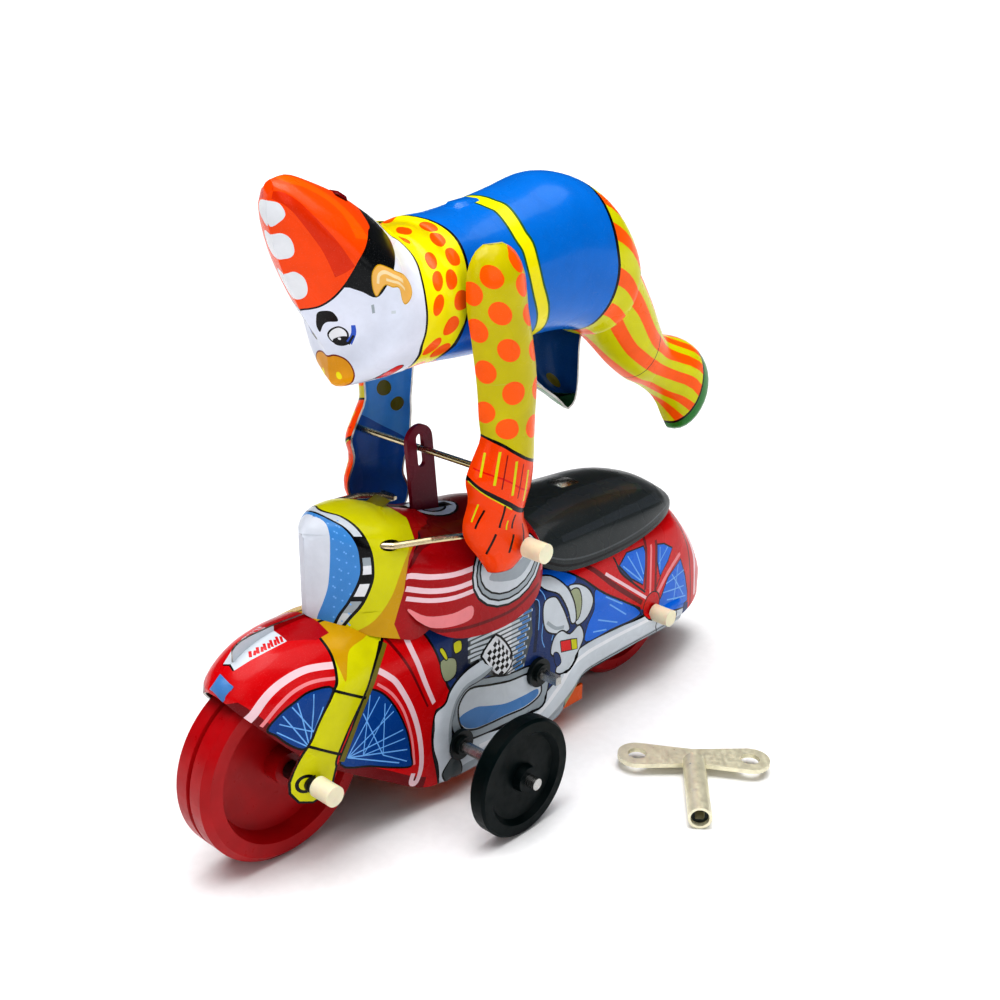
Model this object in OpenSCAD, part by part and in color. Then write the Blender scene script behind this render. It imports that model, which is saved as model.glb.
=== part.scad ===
// Wind up tin toy: a clown balancing on the handlebar of a pressed tin motorcycle, with its key.
// X points forward, Z up. The bike's middle plane is XZ before the whole toy is placed on its origin.

/* [Bike] */
// Radius of the wide front wheel, and height of its axle
front_wheel_r = 23.5; // [21:0.1:25]
// Width of the front wheel
front_wheel_w = 12; // [9:0.5:14]
// Front axle position along the bike
front_x = 77; // [72:0.5:80]
// Radius of the rear wheel, and height of its axle
rear_wheel_r = 23; // [20:0.1:24]
// Rear axle position along the bike
rear_x = -48.5; // [-54:0.5:-44]
// Sheet thickness of the tin shells
sheet = 0.6; // [0.4:0.1:0.9]
// Diameter of the two fixed axles
axle_d = 2.4; // [2:0.1:3]

/* [Drive] */
// Radius of the two black drive wheels, and height of the drive axle
drive_r = 15.2; // [13:0.1:17]
// Width of a drive wheel
drive_w = 4.7; // [4:0.1:6]
// Outer face of a drive wheel from the middle plane
drive_face_y = 40; // [36:0.5:42]
// Diameter of the drive axle
drive_axle_d = 3; // [2:0.1:3.4]
// Gear module
gear_m = 0.6; // [0.5:0.05:0.7]

/* [Rider] */
// Hand pivot height on the handlebar
pivot_z = 67.5; // [64:0.5:70]
// Hand pivot position along the bike
pivot_x = 19; // [16:0.5:22]
// Crossbar height at rest
bar_z = 88.6; // [86:0.1:92]
// Crossbar position at rest
bar_x = 29; // [26:0.1:32]
// Wire diameter of the crossbar and the handlebar
wire_d = 1.6; // [1.2:0.1:2]

/* [Key] */
// Span of the key's bow
key_span = 40; // [34:0.5:46]
// Length of the key's tube
key_len = 25; // [22:0.5:32]
// Outer diameter of the key's tube
key_d = 6; // [5:0.1:7]

/* [Hidden] */
$fn = 48;
eps = 0.01;
// the toy is placed so that its box is centred on the origin, standing on z = 0
shift_x = -6.75;
shift_y = -14.4;
front_z = front_wheel_r;
rear_z = rear_wheel_r;
drive_z = drive_r;
// gear train: teeth, then shaft centres from the centre distances
main_t = 52;
idler_pin_t = 10;
idler_t = 32;
drive_pin_t = 10;
lever_x = 23.5;
lever_z = 34;
idler_x = 21.8;
idler_z = 21.6;
d_main = (main_t + idler_pin_t) * gear_m / 2;
d_drive = (idler_t + drive_pin_t) * gear_m / 2;
arbor_z = 24;
arbor_x = idler_x - sqrt(pow(d_main, 2) - pow(arbor_z - idler_z, 2));
drive_x = idler_x + sqrt(pow(d_drive, 2) - pow(idler_z - drive_z, 2));
arbor_d = 3;
plate_y = 11;
plate_t = 0.8;
cap_d = 5;
cap_len = 6;
hand_y = 21;
lever_rest = atan2(bar_x - lever_x, bar_z - lever_z);

// Bike outlines, half side: x, top of the section, lower edge, half width, shoulder drop
low_body = [
    [92.0, 47.6, 46.6, 1.5, 1], [90.6, 49.4, 44.2, 6, 5], [87.5, 51.9, 40.5, 9.5, 9],
    [82, 54.8, 34, 12.5, 13], [76, 56.2, 28.4, 14.5, 15], [68, 56.6, 22.5, 15.6, 15],
    [56, 56.2, 14.6, 16, 15], [46, 55.4, 8.2, 16.3, 14], [38, 55, 6.2, 16.6, 13],
    [20, 55, 6, 17, 12], [0, 55, 6, 17, 12], [-6, 55.4, 6.4, 17, 12], [-10, 55.6, 9.6, 17, 12],
    [-17, 56, 15, 17, 12], [-26, 56.6, 15.6, 17, 12], [-44, 56.6, 15.6, 16.6, 13],
    [-60, 54, 15.4, 15.6, 14], [-70, 45.8, 15.6, 14, 13],
    [-77, 37, 16.4, 11.8, 11], [-82.5, 29.8, 17, 8.6, 8], [-86, 24.6, 17.8, 4, 3.5],
    [-87, 22.4, 18.6, 1, 1]];
lamp = [
    [65.8, 77.2, 57, 0.8, 0.6], [64.8, 78.6, 56, 2.2, 1.6], [62.6, 80, 55, 5, 4], [59.6, 80.9, 54, 8.4, 7],
    [56, 81.2, 52, 11.6, 9], [50, 80.6, 50, 14.2, 10], [44, 78.4, 48, 14.6, 10],
    [36, 75.4, 50, 14, 10], [32, 74, 51, 13, 10]];
tank = [
    [48.6, 66, 59, 14.2, 5], [46, 76, 54.5, 15.4, 11], [41, 76.4, 49.5, 17.4, 13],
    [33, 73.8, 45.4, 18.7, 13], [20, 71.6, 43.4, 19, 13], [9, 70.4, 44.6, 18.4, 13],
    [3, 68.6, 48, 17.2, 12], [-0.5, 65, 53, 15, 9]];
seat = [
    [3.5, 63, 55, 15, 7], [0, 64.6, 52.6, 16.6, 8], [-6, 65.4, 50, 17.4, 9],
    [-16, 65.4, 48.6, 17.8, 9], [-30, 64.6, 48.4, 17.8, 9], [-44, 63.6, 49.6, 17, 9],
    [-54, 60.8, 51.4, 15.2, 8], [-60, 57.4, 53, 12, 5], [-62.5, 55, 53.4, 8, 1.5]];

// Clown outlines, half side: upper edge x z, lower edge x z, rim plane y, bulge;
// the torso adds how sharp its seam is
torso = [
    [69.2, 155.4, 70.2, 152.6, 0, 1.5, 2], [65, 156, 70.3, 146.5, 0, 6, 2],
    [59, 154, 67.2, 136.4, 0, 10.5, 2], [51, 150.4, 62.2, 126, 0, 14, 2],
    [44, 146, 56.6, 117.5, 0, 16, 2], [38.4, 142.2, 55, 109.6, 0, 16.4, 1.8],
    [34, 139.8, 45.5, 108.8, 0, 16, 1.3], [32.4, 141.6, 35.6, 110.4, 0, 16, 0.9],
    [31, 143.6, 30, 110.4, 0, 17.2, 0.9], [22, 144, 20, 109.8, 0, 17, 0.9],
    [12, 145.4, 9, 109.6, 0, 16.6, 0.9], [0, 147.8, 0, 110.2, 0, 16.4, 0.9],
    [-12, 150.2, -9, 110.4, 0, 17, 0.9], [-23, 148, -17, 110, 0, 17.6, 0.9],
    [-33, 141.6, -24, 108.6, 0, 17.4, 0.9], [-40, 131.5, -30, 106.6, 0, 15.5, 0.9],
    [-41, 124, -36, 112, 0, 8, 0.9]];
leg_back = [
    [-38, 134, -22, 110, 0, 14], [-43, 127.5, -31, 105.6, 0, 13.6], [-51, 117, -42.5, 95.8, 0, 12],
    [-57.5, 107.5, -51, 89.8, 0, 10], [-61.5, 102.4, -57, 86.8, 0, 9], [-67, 99.8, -63, 83, 0, 9.4],
    [-75, 97.4, -67, 79, 0, 10.4], [-81, 93.5, -71, 73, 0, 10.4], [-85, 88, -74.6, 69.5, 0, 8.5],
    [-86, 83, -80, 73.5, 0, 2.5]];
leg_down = [
    [-36, 126, -8, 112, 0, 14], [-33, 112, -9, 108, 0, 13.4], [-31, 104, -9.5, 102.5, 0, 12.4],
    [-30.8, 97, -12, 97.5, 0, 10.6], [-30.6, 91.4, -16.5, 93.5, 0, 8.6], [-29.5, 87.4, -22, 89.6, 0, 5.4],
    [-27, 85.8, -25, 86.8, 0, 2]];
arm = [
    [21, 139.4, 27, 139.6, 19, 1.5], [18, 137.4, 29.8, 138, 19, 3.8], [15.6, 132.6, 32, 134, 19, 5.8],
    [14.6, 124.6, 32.2, 127, 19, 6.6], [12.6, 115, 30.4, 117, 19.1, 6.8], [11.6, 107, 29.2, 108, 19.4, 6.6],
    [12, 99, 28.8, 100, 19.7, 6.2], [12.4, 93.4, 28.6, 95.6, 20, 6], [12.4, 89.4, 31, 91.4, 20, 6.4],
    [13.2, 82.4, 33.4, 86.6, 20, 6.8], [15, 77.4, 32.6, 81.4, 20, 6.2], [15.4, 73.4, 34.6, 76, 20.2, 5.6],
    [13.4, 69, 33.8, 71.6, 20.4, 5.4], [14.4, 64.4, 29.6, 66, 20.6, 4.6], [18, 61.2, 26.6, 61.6, 20.8, 2.5]];

function blend4(a, b, c, d, t) = 0.5 * ((2 * b) + (c - a) * t + (2 * a - 5 * b + 4 * c - d) * t * t
    + (3 * b - a - 3 * c + d) * t * t * t);
function fine(rows, n) = let (m = len(rows) - 1) [for (i = [0:m - 1]) for (k = [0:n - 1])
    blend4(rows[max(i - 1, 0)], rows[i], rows[i + 1], rows[min(i + 2, m)], k / n), rows[m]];

// section of the bike: shoulder curve, then a straight wall; a is how far it passes the middle plane
function bike_ring(r, a) = let (h = min(r[4], (r[1] - r[2]) * 0.95)) concat([[r[0], -a, r[1]]],
    [for (t = [15:15:90]) [r[0], r[3] * sin(t), r[1] - h * (1 - cos(t))]],
    [[r[0], r[3], (r[1] - h + r[2]) / 2], [r[0], r[3], r[2]], [r[0], -a, r[2]]]);
function bike_rings(rows, a) = [for (r = rows) bike_ring(r, a)];
function thin(rows, s, drop) = let (m = len(rows) - 1) [for (i = [0:m]) let (r = rows[i],
    d = rows[min(i + 1, m)] - rows[max(i - 1, 0)], kz = min(norm([d[0], d[1]]) / abs(d[0]), 2.5),
    kw = min(norm([d[0], d[3]]) / abs(d[0]), 2.5))
    [r[0] + (i == 0 ? -s : i == m ? s : 0), r[1] - s * kz, r[2] + drop, max(r[3] - s * kw, 0.3), r[4]]];

// section of a limb: a half oval over the two edge points; s is the wall taken off, k its slope factors
function limb_ring(r, s, k, a) = let (dx = (r[0] - r[2]) / 2, dz = (r[1] - r[3]) / 2, l = norm([dx, dz]),
    f = max((l - s * k[0]) / l, 0.1), mx = (r[0] + r[2]) / 2, mz = (r[1] + r[3]) / 2,
    d = max(r[5] - s * k[1], 0.3), power = len(r) > 6 ? r[6] : 0.9)
    concat([[mx + dx * f, r[4] - a, mz + dz * f]],
    [for (t = [15:15:165]) [mx + dx * f * cos(t), r[4] + d * pow(sin(t), power), mz + dz * f * cos(t)]],
    [[mx - dx * f, r[4] - a, mz - dz * f]]);
function middle(r) = [(r[0] + r[2]) / 2, 0, (r[1] + r[3]) / 2];
function span(r) = norm([r[0] - r[2], r[1] - r[3]]) / 2;
function limb_rings(rows, s, a) = let (m = len(rows) - 1) [for (i = [0:m]) let (r = rows[i],
    p = rows[max(i - 1, 0)], n = rows[min(i + 1, m)], v = middle(n) - middle(p), l = norm(v),
    k = [min(norm([l, span(n) - span(p)]) / l, 2.5), min(norm([l, n[5] - p[5]]) / l, 2.5)],
    g = v / l * s * (i == 0 ? 1.3 : i == m ? -1.3 : 0)) [for (q = limb_ring(r, s, k, a)) q + g]];

module loft(rings) {
    n = len(rings);
    m = len(rings[0]);
    polyhedron(points = [for (r = rings) each r], faces = concat(
        [[for (j = [0:m - 1]) j]], [[for (j = [m - 1:-1:0]) (n - 1) * m + j]],
        [for (i = [0:n - 2]) for (j = [0:m - 1]) [i * m + j, (i + 1) * m + j, (i + 1) * m + (j + 1) % m]],
        [for (i = [0:n - 2]) for (j = [0:m - 1])
            [i * m + j, (i + 1) * m + (j + 1) % m, i * m + (j + 1) % m]]));
}

module place() translate([shift_x, shift_y, 0]) children();
module rod(x, z, y0, y1, d, fn = 48)
    translate([x, y1, z]) rotate([90, 0, 0]) cylinder(d = d, h = y1 - y0, $fn = fn);
module both() { children(); mirror([0, 1, 0]) children(); }

// round hole lathed about the Y axis: pairs of radius and y
module lathe_y(x, z, pts) translate([x, 0, z]) rotate([-90, 0, 0]) rotate_extrude($fn = 96) polygon(pts);

module gear(t, x, z, y0, y1, bore, turn) {
    rp = t * gear_m / 2;
    ro = rp + 0.45 * gear_m;
    ri = rp - 0.85 * gear_m;
    p = 360 / t;
    translate([x, y1, z]) rotate([90, 0, 0]) linear_extrude(y1 - y0) difference() {
        polygon([for (i = [0:t - 1]) let (a = -turn + i * p)
            for (q = [[-0.27, ri], [-0.13, ro], [0.13, ro], [0.27, ri]])
                q[1] * [cos(a + q[0] * p), sin(a + q[0] * p)]]);
        circle(d = bore);
    }
}

// pressed tin half of the bike: fender, fork leg, lamp, tank and seat in one sheet
module bike_half() resize([0, 0, 0]) difference() {
    union() {
        difference() {
            for (part = [low_body, lamp, tank, seat]) loft(bike_rings(fine(part, 2), 0));
            loft(bike_rings(thin(fine(low_body, 2), sheet, -4), 1));
            for (part = [lamp, tank, seat]) loft(bike_rings(thin(fine(part, 2), sheet, sheet), 1));
        }
        fork_leg();
    }
    rod(front_x, front_z, 0, 30, axle_d, 24);
    rod(rear_x, rear_z, 0, 30, axle_d, 24);
    rod(arbor_x, arbor_z, 0, 30, 5.2, 24);
    rod(drive_x, drive_z, 0, 30, 5.2, 24);
    hull() for (x = [49.2, 52.4]) rod(x, 73.7, 5, 30, wire_d + 1, 24);
    translate([29.5, 0, 60]) linear_extrude(30) square([21, 2.6], center = true);
}

// flat fork leg that carries the front axle
module fork_leg() translate([0, 16, 0]) rotate([90, 0, 0]) linear_extrude(sheet * 1.5) hull() {
    translate([front_x, front_z]) circle(d = 11, $fn = 32);
    translate([66, 36]) circle(d = 12.5, $fn = 32);
}

module body_left() place() color("#c8102a") bike_half();
module body_right() place() color("#c8102a") mirror([0, 1, 0]) bike_half();

module base_plate() place() color("#f0801e") difference() {
    union() {
        translate([-18, -15.6, 6.4]) cube([60, 31.2, 0.8]);
        both() translate([-18, 14.8, 7.2]) cube([60, 0.8, 4]);
    }
    both() rod(drive_x, drive_z, 10, 20, 10);
}

module front_wheel() place() color("#d01822")
    lathe_y(front_x, front_z, let (w = front_wheel_w / 2, r = front_wheel_r) [
    [axle_d / 2 + 0.1, -w], [4, -w], [4, -w + 4.4], [17, -w + 4.4], [18.5, -w], [r - 1.6, -w], [r, -w + 1.6],
    [r, -0.7], [r - 0.9, -0.4], [r - 0.9, 0.4], [r, 0.7], [r, w - 1.6], [r - 1.6, w], [18.5, w],
    [17, w - 4.4], [4, w - 4.4], [4, w], [axle_d / 2 + 0.1, w]]);

module rear_wheel() place() color("#c01820")
    lathe_y(rear_x, rear_z, let (w = front_wheel_w / 2, r = rear_wheel_r) [
    [axle_d / 2 + 0.1, -w], [4, -w], [4, -w + 4.4], [17, -w + 4.4], [18.5, -w], [r - 1.6, -w], [r, -w + 1.6],
    [r, w - 1.6], [r - 1.6, w], [18.5, w], [17, w - 4.4], [4, w - 4.4], [4, w], [axle_d / 2 + 0.1, w]]);

module front_axle() place() color("#c8c8c4") rod(front_x, front_z, -20, 20, axle_d);
module rear_axle() place() color("#c8c8c4") rod(rear_x, rear_z, -20.5, 20.5, axle_d);
module cap(x, z, y0, bore, deep) difference() {
    rod(x, z, y0, y0 + cap_len, cap_d);
    rod(x, z, y0 - 1, y0 + deep, bore);
}
module front_axle_caps() place() color("#f0e8d2") both() cap(front_x, front_z, 16.3, axle_d, 3.7);
module rear_axle_caps() place() color("#f0e8d2") both() cap(rear_x, rear_z, 16.9, axle_d, 3.6);

// spacers that keep the wheels in the middle of their axles
module wheel_spacers() place() color("#8c8c88") both() {
    for (p = [[front_x, front_z, 14.9], [rear_x, rear_z, 15.6]]) difference() {
        rod(p[0], p[1], front_wheel_w / 2 + 0.3, p[2], 4.4);
        rod(p[0], p[1], 0, 30, axle_d);
    }
}

module drive_axle() place() color("#b8b8b4")
    rod(drive_x, drive_z, -drive_face_y - 3.4, drive_face_y + 3.4, drive_axle_d);
module drive_wheel() lathe_y(drive_x, drive_z,
    let (f = drive_face_y, w = drive_w, r = drive_r, b = drive_axle_d / 2) [
    [b, f - w - 3], [3.2, f - w - 3], [3.2, f - w + 1], [11, f - w + 1], [12, f - w],
    [r - 0.6, f - w], [r, f - w + 0.7], [r, f - 0.7], [r - 0.6, f], [12, f],
    [10.8, f - 1.4], [3.6, f - 1.4], [3.2, f + 0.6], [b, f + 0.6]]);
module drive_wheel_left() place() color("#1c1c1e") drive_wheel();
module drive_wheel_right() place() color("#1c1c1e") mirror([0, 1, 0]) drive_wheel();
module axle_bushes() place() color("#202022") both() difference() {
    union() {
        rod(drive_x, drive_z, 12, 19.4, 5);
        rod(drive_x, drive_z, 17.1, 18.3, 8);
    }
    rod(drive_x, drive_z, 0, 30, drive_axle_d + 0.1);
}
module arbor_bush() place() color("#202022") difference() {
    union() {
        rod(arbor_x, arbor_z, 12, 19.2, 5);
        rod(arbor_x, arbor_z, 17.1, 18.3, 8);
    }
    rod(arbor_x, arbor_z, 0, 30, arbor_d + 0.1);
}

// clockwork frame
module motor_plate(side) difference() {
    translate([0, side * plate_y + plate_t / 2, 0]) rotate([90, 0, 0]) linear_extrude(plate_t) difference() {
        polygon([[-16, 9], [-16, 38], [-9, 44], [12, 44], [33, 40], [39, 30], [39, 9]]);
        translate([arbor_x, arbor_z]) circle(d = arbor_d + 0.1);
        translate([drive_x, drive_z]) circle(d = drive_axle_d + 0.1);
        translate([idler_x, idler_z]) circle(d = 2.1);
        translate([lever_x, lever_z]) circle(d = 2);
        for (p = pillar_at) translate(p) circle(d = 2);
    }
}
pillar_at = [[-13, 12], [-11, 39], [35, 29], [8, 41.6]];
module motor_plate_left() place() color("#b9b9b2") motor_plate(1);
module motor_plate_right() place() color("#b9b9b2") motor_plate(-1);
module motor_pillars() place() color("#b0a070") for (p = pillar_at) {
    rod(p[0], p[1], -plate_y + plate_t / 2, plate_y - plate_t / 2, 3);
    both() rod(p[0], p[1], plate_y - plate_t / 2 - eps, plate_y + plate_t / 2 + 0.8, 2);
}
module lever_pin() place() color("#b8b8b4") rod(lever_x, lever_z, -plate_y - 1, plate_y + 1, 2);

// flat spiral spring round the arbor, its outer end bent round the lower rear pillar
module mainspring() place() color("#4a5058")
    translate([arbor_x, -2.2, arbor_z]) rotate([90, 0, 0]) linear_extrude(6) union() {
    polygon(concat([for (i = [0:60]) let (a = i * 22.5, r = 3.4 + a * 0.0064) r * [cos(a), sin(a)]],
        [for (i = [60:-1:0]) let (a = i * 22.5, r = 3 + a * 0.0064) r * [cos(a), sin(a)]]));
    polygon([[0.3, -11.6], [0.3, -12.04], [-14.9, -12.2], [-14.9, -11.8]]);
}
module winding_arbor() place() color("#c4c4c0") union() {
    rod(arbor_x, arbor_z, -plate_y - 1.6, 19.6, arbor_d);
    translate([arbor_x - 1.05, 19.6 - eps, arbor_z - 1.05]) cube([2.1, 5, 2.1]);
}
ratchet_t = 12;
module ratchet_wheel() place() color("#c9a24e")
    translate([arbor_x, 5.4, arbor_z]) rotate([90, 0, 0]) linear_extrude(1) difference() {
    polygon([for (i = [0:ratchet_t - 1]) let (a = i * 360 / ratchet_t)
        for (q = [[0, 4.2], [24, 5.6]]) q[1] * [cos(a + q[0]), sin(a + q[0])]]);
    circle(d = arbor_d);
}
module main_gear() place() color("#c9a24e") gear(main_t, arbor_x, arbor_z, 5.7, 6.9, arbor_d + 0.1,
    atan2(arbor_z - idler_z, idler_x - arbor_x));
module click() place() color("#8e8e88")
    translate([arbor_x, 5.6, arbor_z]) rotate([90, 0, 0]) linear_extrude(0.9)
    difference() {
        polygon([[-0.6, 5.9], [0.2, 5.85], [7.4, 6.2], [8.6, 7.6], [7.8, 9.2], [6, 9]]);
    }

module idler_shaft() place() color("#b8b8b4") rod(idler_x, idler_z, 2.2, plate_y + 1.4, 2);
module idler_pinion() place() color("#c9a24e") gear(idler_pin_t, idler_x, idler_z, 5.4, 7.2, 2,
    180 + atan2(arbor_z - idler_z, idler_x - arbor_x) + 18);
module idler_gear() place() color("#c9a24e") gear(idler_t, idler_x, idler_z, 8, 9.2, 2,
    atan2(idler_z - drive_z, drive_x - idler_x));
module drive_pinion() place() color("#c9a24e") gear(drive_pin_t, drive_x, drive_z, 7.7, 9.5, drive_axle_d,
    180 + atan2(idler_z - drive_z, drive_x - idler_x) + 18);
module crank_disc() place() color("#b8b8b4") union() {
    difference() {
        rod(idler_x, idler_z, 2.2, 3.2, 6);
        rod(idler_x, idler_z, 2.1, 3.3, 2);
    }
    rod(idler_x, idler_z, 1.4, 2.2, 5.99);
    rod(idler_x + 0.1, idler_z - 1.4, 0.9, 1.4, 1.6);
}

// swinging lever: rounded strap with the crossbar slot at its top and the crank fork at its foot
module lever() place() color("#6e1f35")
    translate([lever_x, 0.6, lever_z]) rotate([90, 0, 0]) rotate(-lever_rest)
    linear_extrude(1.2) difference() {
        union() {
            translate([-4.2, -14]) square([8.4, 70.6]);
            translate([0, 56.6]) circle(d = 8.4);
            translate([-5, -17]) square([10, 8]);
        }
        circle(d = 2.1);
        translate([-1.2, 51.2]) square([2.4, 6.2]);
        for (h = [51.2, 57.4]) translate([0, h]) circle(d = 2.4);
        translate([-1.1, -16]) square([2.2, 7]);
    }

function wire_ring(p, q, d, n) = let (u = (q - p) / norm(q - p), v = cross(u, [0, 0, 1]),
    s = v / norm(v), t = cross(u, s))
    [for (i = [0:n - 1]) let (a = i * 360 / n) p + d / 2 * (s * cos(a) + t * sin(a))];
bar_half = [[19, 21.6, 67.5], [19, 20.8, 67.5], [19.5, 19.7, 67.6], [20.8, 19.1, 68], [25, 19, 70],
    [33, 18.6, 72.2], [42, 17, 73.4], [50.7, 14, 73.7], [54, 10, 73.7], [55.4, 5, 73.7]];
bar_path = concat(bar_half, [for (i = [len(bar_half) - 1:-1:0])
    [bar_half[i][0], -bar_half[i][1], bar_half[i][2]]]);
module handlebar() place() color("#c9bd95") union() {
    loft([for (i = [1:len(bar_path) - 2]) wire_ring(bar_path[i], bar_path[i] + (i == 1 ? [0, -1, 0] :
        i == len(bar_path) - 2 ? [0, -1, 0] : bar_path[i + 1] - bar_path[i - 1]), wire_d, 10)]);
    both() rod(pivot_x, pivot_z, 20.8, 32, wire_d);
}
module handlebar_caps() place() color("#f0e8d2") both() cap(pivot_x, pivot_z, 26.6, wire_d, 5.4);

module clown_half(leg) resize([0, 0, 0]) difference() {
    for (part = [torso, leg]) loft(limb_rings(fine(part, 2), 0, 0));
    for (part = [torso, leg]) loft(limb_rings(fine(part, 2), sheet, 1));
    for (t = arm_tabs) translate([t[0] - 0.6, 5, t[1] - 0.3]) cube([1.8, 15, 4.6]);
}
arm_tabs = [[30.7, 126], [15.6, 126]];
module clown_left() place() color("#1f63c8") clown_half(leg_back);
module clown_right() place() color("#1f63c8") mirror([0, 1, 0]) clown_half(leg_down);
module arm_half() resize([0, 0, 0]) difference() {
    union() {
        difference() {
            loft(limb_rings(fine(arm, 2), 0, 0));
            loft(limb_rings(fine(arm, 2), sheet, 1));
        }
        for (t = arm_tabs) translate([t[0], 14, t[1]]) cube([0.6, 7, 4]);
    }
    rod(pivot_x, pivot_z, 18, 30, wire_d + 0.1, 24);
    rod(bar_x, bar_z, 18, 30, wire_d, 24);
}
module arm_left() place() color("#e8e020") arm_half();
module arm_right() place() color("#e8e020") mirror([0, 1, 0]) arm_half();
module crossbar() place() color("#c9bd95") rod(bar_x, bar_z, -23.5, 23.5, wire_d);

// key lying on the floor, its tube pointing away from the bike's rear
module key() place() color("#c4bfb0") translate([-19.1, 53, 3]) rotate([0, 0, 38.5]) union() {
    translate([0, 0, -0.6]) linear_extrude(1.2) difference() {
        for (s = [-1, 1]) hull() {
            translate([0, s * (key_span / 2 - 5.2)]) circle(d = 10.4);
            translate([-3.4, -0.5]) square([6.8, 1]);
        }
        for (s = [-1, 1]) translate([0, s * (key_span / 2 - 5.2)]) circle(d = 5);
    }
    difference() {
        rotate([0, 90, 0]) translate([0, 0, 2]) cylinder(d = key_d, h = key_len);
        translate([key_len - 9, -1.15, -1.15]) cube([13, 2.3, 2.3]);
        rotate([0, 90, 0]) translate([0, 0, key_len + 0.6]) cylinder(d = 4.6, h = 3);
    }
}

body_left();
body_right();
base_plate();
front_wheel();
rear_wheel();
front_axle();
rear_axle();
front_axle_caps();
rear_axle_caps();
wheel_spacers();
drive_axle();
drive_wheel_left();
drive_wheel_right();
axle_bushes();
arbor_bush();
motor_plate_left();
motor_plate_right();
motor_pillars();
lever_pin();
mainspring();
winding_arbor();
ratchet_wheel();
main_gear();
click();
idler_shaft();
idler_pinion();
idler_gear();
drive_pinion();
crank_disc();
lever();
handlebar();
handlebar_caps();
clown_left();
clown_right();
arm_left();
arm_right();
crossbar();
key();
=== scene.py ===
"""Looks of the wind up tin toy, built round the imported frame: printed tin, plastic, wire and clockwork.

The tin shells are drawn flat. Each half shell unrolls to a sheet, inks are drawn on that sheet in
millimetres, and every triangle is carried onto the shell by the same tables of sections as the
pressed tin of the CAD model. X points forward, Z up, and the bike's middle plane is y = 0 in these
millimetres; MM and SHIFT carry them to the frame."""

import math

import bpy
import numpy as np
from mathutils import Matrix, Vector
from mathutils.geometry import delaunay_2d_cdt


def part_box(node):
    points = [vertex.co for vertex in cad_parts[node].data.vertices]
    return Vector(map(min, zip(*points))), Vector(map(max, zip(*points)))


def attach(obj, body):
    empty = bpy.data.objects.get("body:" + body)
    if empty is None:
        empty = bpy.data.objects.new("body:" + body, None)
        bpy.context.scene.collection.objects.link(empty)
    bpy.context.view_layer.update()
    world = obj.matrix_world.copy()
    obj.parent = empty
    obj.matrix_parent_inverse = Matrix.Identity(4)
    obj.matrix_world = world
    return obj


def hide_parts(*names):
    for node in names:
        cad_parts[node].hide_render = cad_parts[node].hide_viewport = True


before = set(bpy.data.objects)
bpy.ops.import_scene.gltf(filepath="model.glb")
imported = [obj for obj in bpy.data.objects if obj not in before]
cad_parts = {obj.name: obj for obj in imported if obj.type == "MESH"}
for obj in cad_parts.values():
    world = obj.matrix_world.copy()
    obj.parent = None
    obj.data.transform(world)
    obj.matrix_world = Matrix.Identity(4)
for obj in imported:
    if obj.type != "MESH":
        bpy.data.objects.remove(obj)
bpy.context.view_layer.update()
scene = bpy.context.scene

MM = 0.001
FRONT_AXLE = Vector((77, 0, 23.5))
low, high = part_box("front_wheel")
SHIFT = (low + high) / 2 / MM - FRONT_AXLE
SHEET = 0.6          # tin thickness
STEP = 2.2           # spacing of the points inside a sheet
EDGE_FINER = 1.5     # how much closer the points of its edges stand
INNER_COARSER = 1.6  # how much wider apart the points of its inner face stand
CAP_POINTS = 18      # points along the end of a sheet that a cap closes
ROUND_SEAM = 0.9     # power that gives a limb's section its shape where a table names none

# ---------------------------------------------------------------- section tables of the pressed tin
# bike: x, top of the section, lower edge, half width, shoulder drop
LOW = [(92.0, 47.6, 46.6, 1.5, 1), (90.6, 49.4, 44.2, 6, 5), (87.5, 51.9, 40.5, 9.5, 9),
       (82, 54.8, 34, 12.5, 13), (76, 56.2, 28.4, 14.5, 15), (68, 56.6, 22.5, 15.6, 15),
       (56, 56.2, 14.6, 16, 15), (46, 55.4, 8.2, 16.3, 14), (38, 55, 6.2, 16.6, 13), (20, 55, 6, 17, 12),
       (0, 55, 6, 17, 12), (-6, 55.4, 6.4, 17, 12), (-10, 55.6, 9.6, 17, 12), (-17, 56, 15, 17, 12),
       (-26, 56.6, 15.6, 17, 12), (-44, 56.6, 15.6, 16.6, 13), (-60, 54, 15.4, 15.6, 14),
       (-70, 45.8, 15.6, 14, 13), (-77, 37, 16.4, 11.8, 11), (-82.5, 29.8, 17, 8.6, 8),
       (-86, 24.6, 17.8, 4, 3.5), (-87, 22.4, 18.6, 1, 1)]
LAMP = [
    (65.8, 77.2, 57, 0.8, 0.6), (64.8, 78.6, 56, 2.2, 1.6), (62.6, 80, 55, 5, 4), (59.6, 80.9, 54, 8.4, 7),
    (56, 81.2, 52, 11.6, 9), (50, 80.6, 50, 14.2, 10), (44, 78.4, 48, 14.6, 10),
    (36, 75.4, 50, 14, 10), (32, 74, 51, 13, 10)]
TANK = [
    (48.6, 66, 59, 14.2, 5), (46, 76, 54.5, 15.4, 11), (41, 76.4, 49.5, 17.4, 13),
    (33, 73.8, 45.4, 18.7, 13), (20, 71.6, 43.4, 19, 13), (9, 70.4, 44.6, 18.4, 13),
    (3, 68.6, 48, 17.2, 12), (-0.5, 65, 53, 15, 9)]
SEAT = [
    (3.5, 63, 55, 15, 7), (0, 64.6, 52.6, 16.6, 8), (-6, 65.4, 50, 17.4, 9),
    (-16, 65.4, 48.6, 17.8, 9), (-30, 64.6, 48.4, 17.8, 9), (-44, 63.6, 49.6, 17, 9),
    (-54, 60.8, 51.4, 15.2, 8), (-60, 57.4, 53, 12, 5), (-62.5, 55, 53.4, 8, 1.5)]
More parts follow.
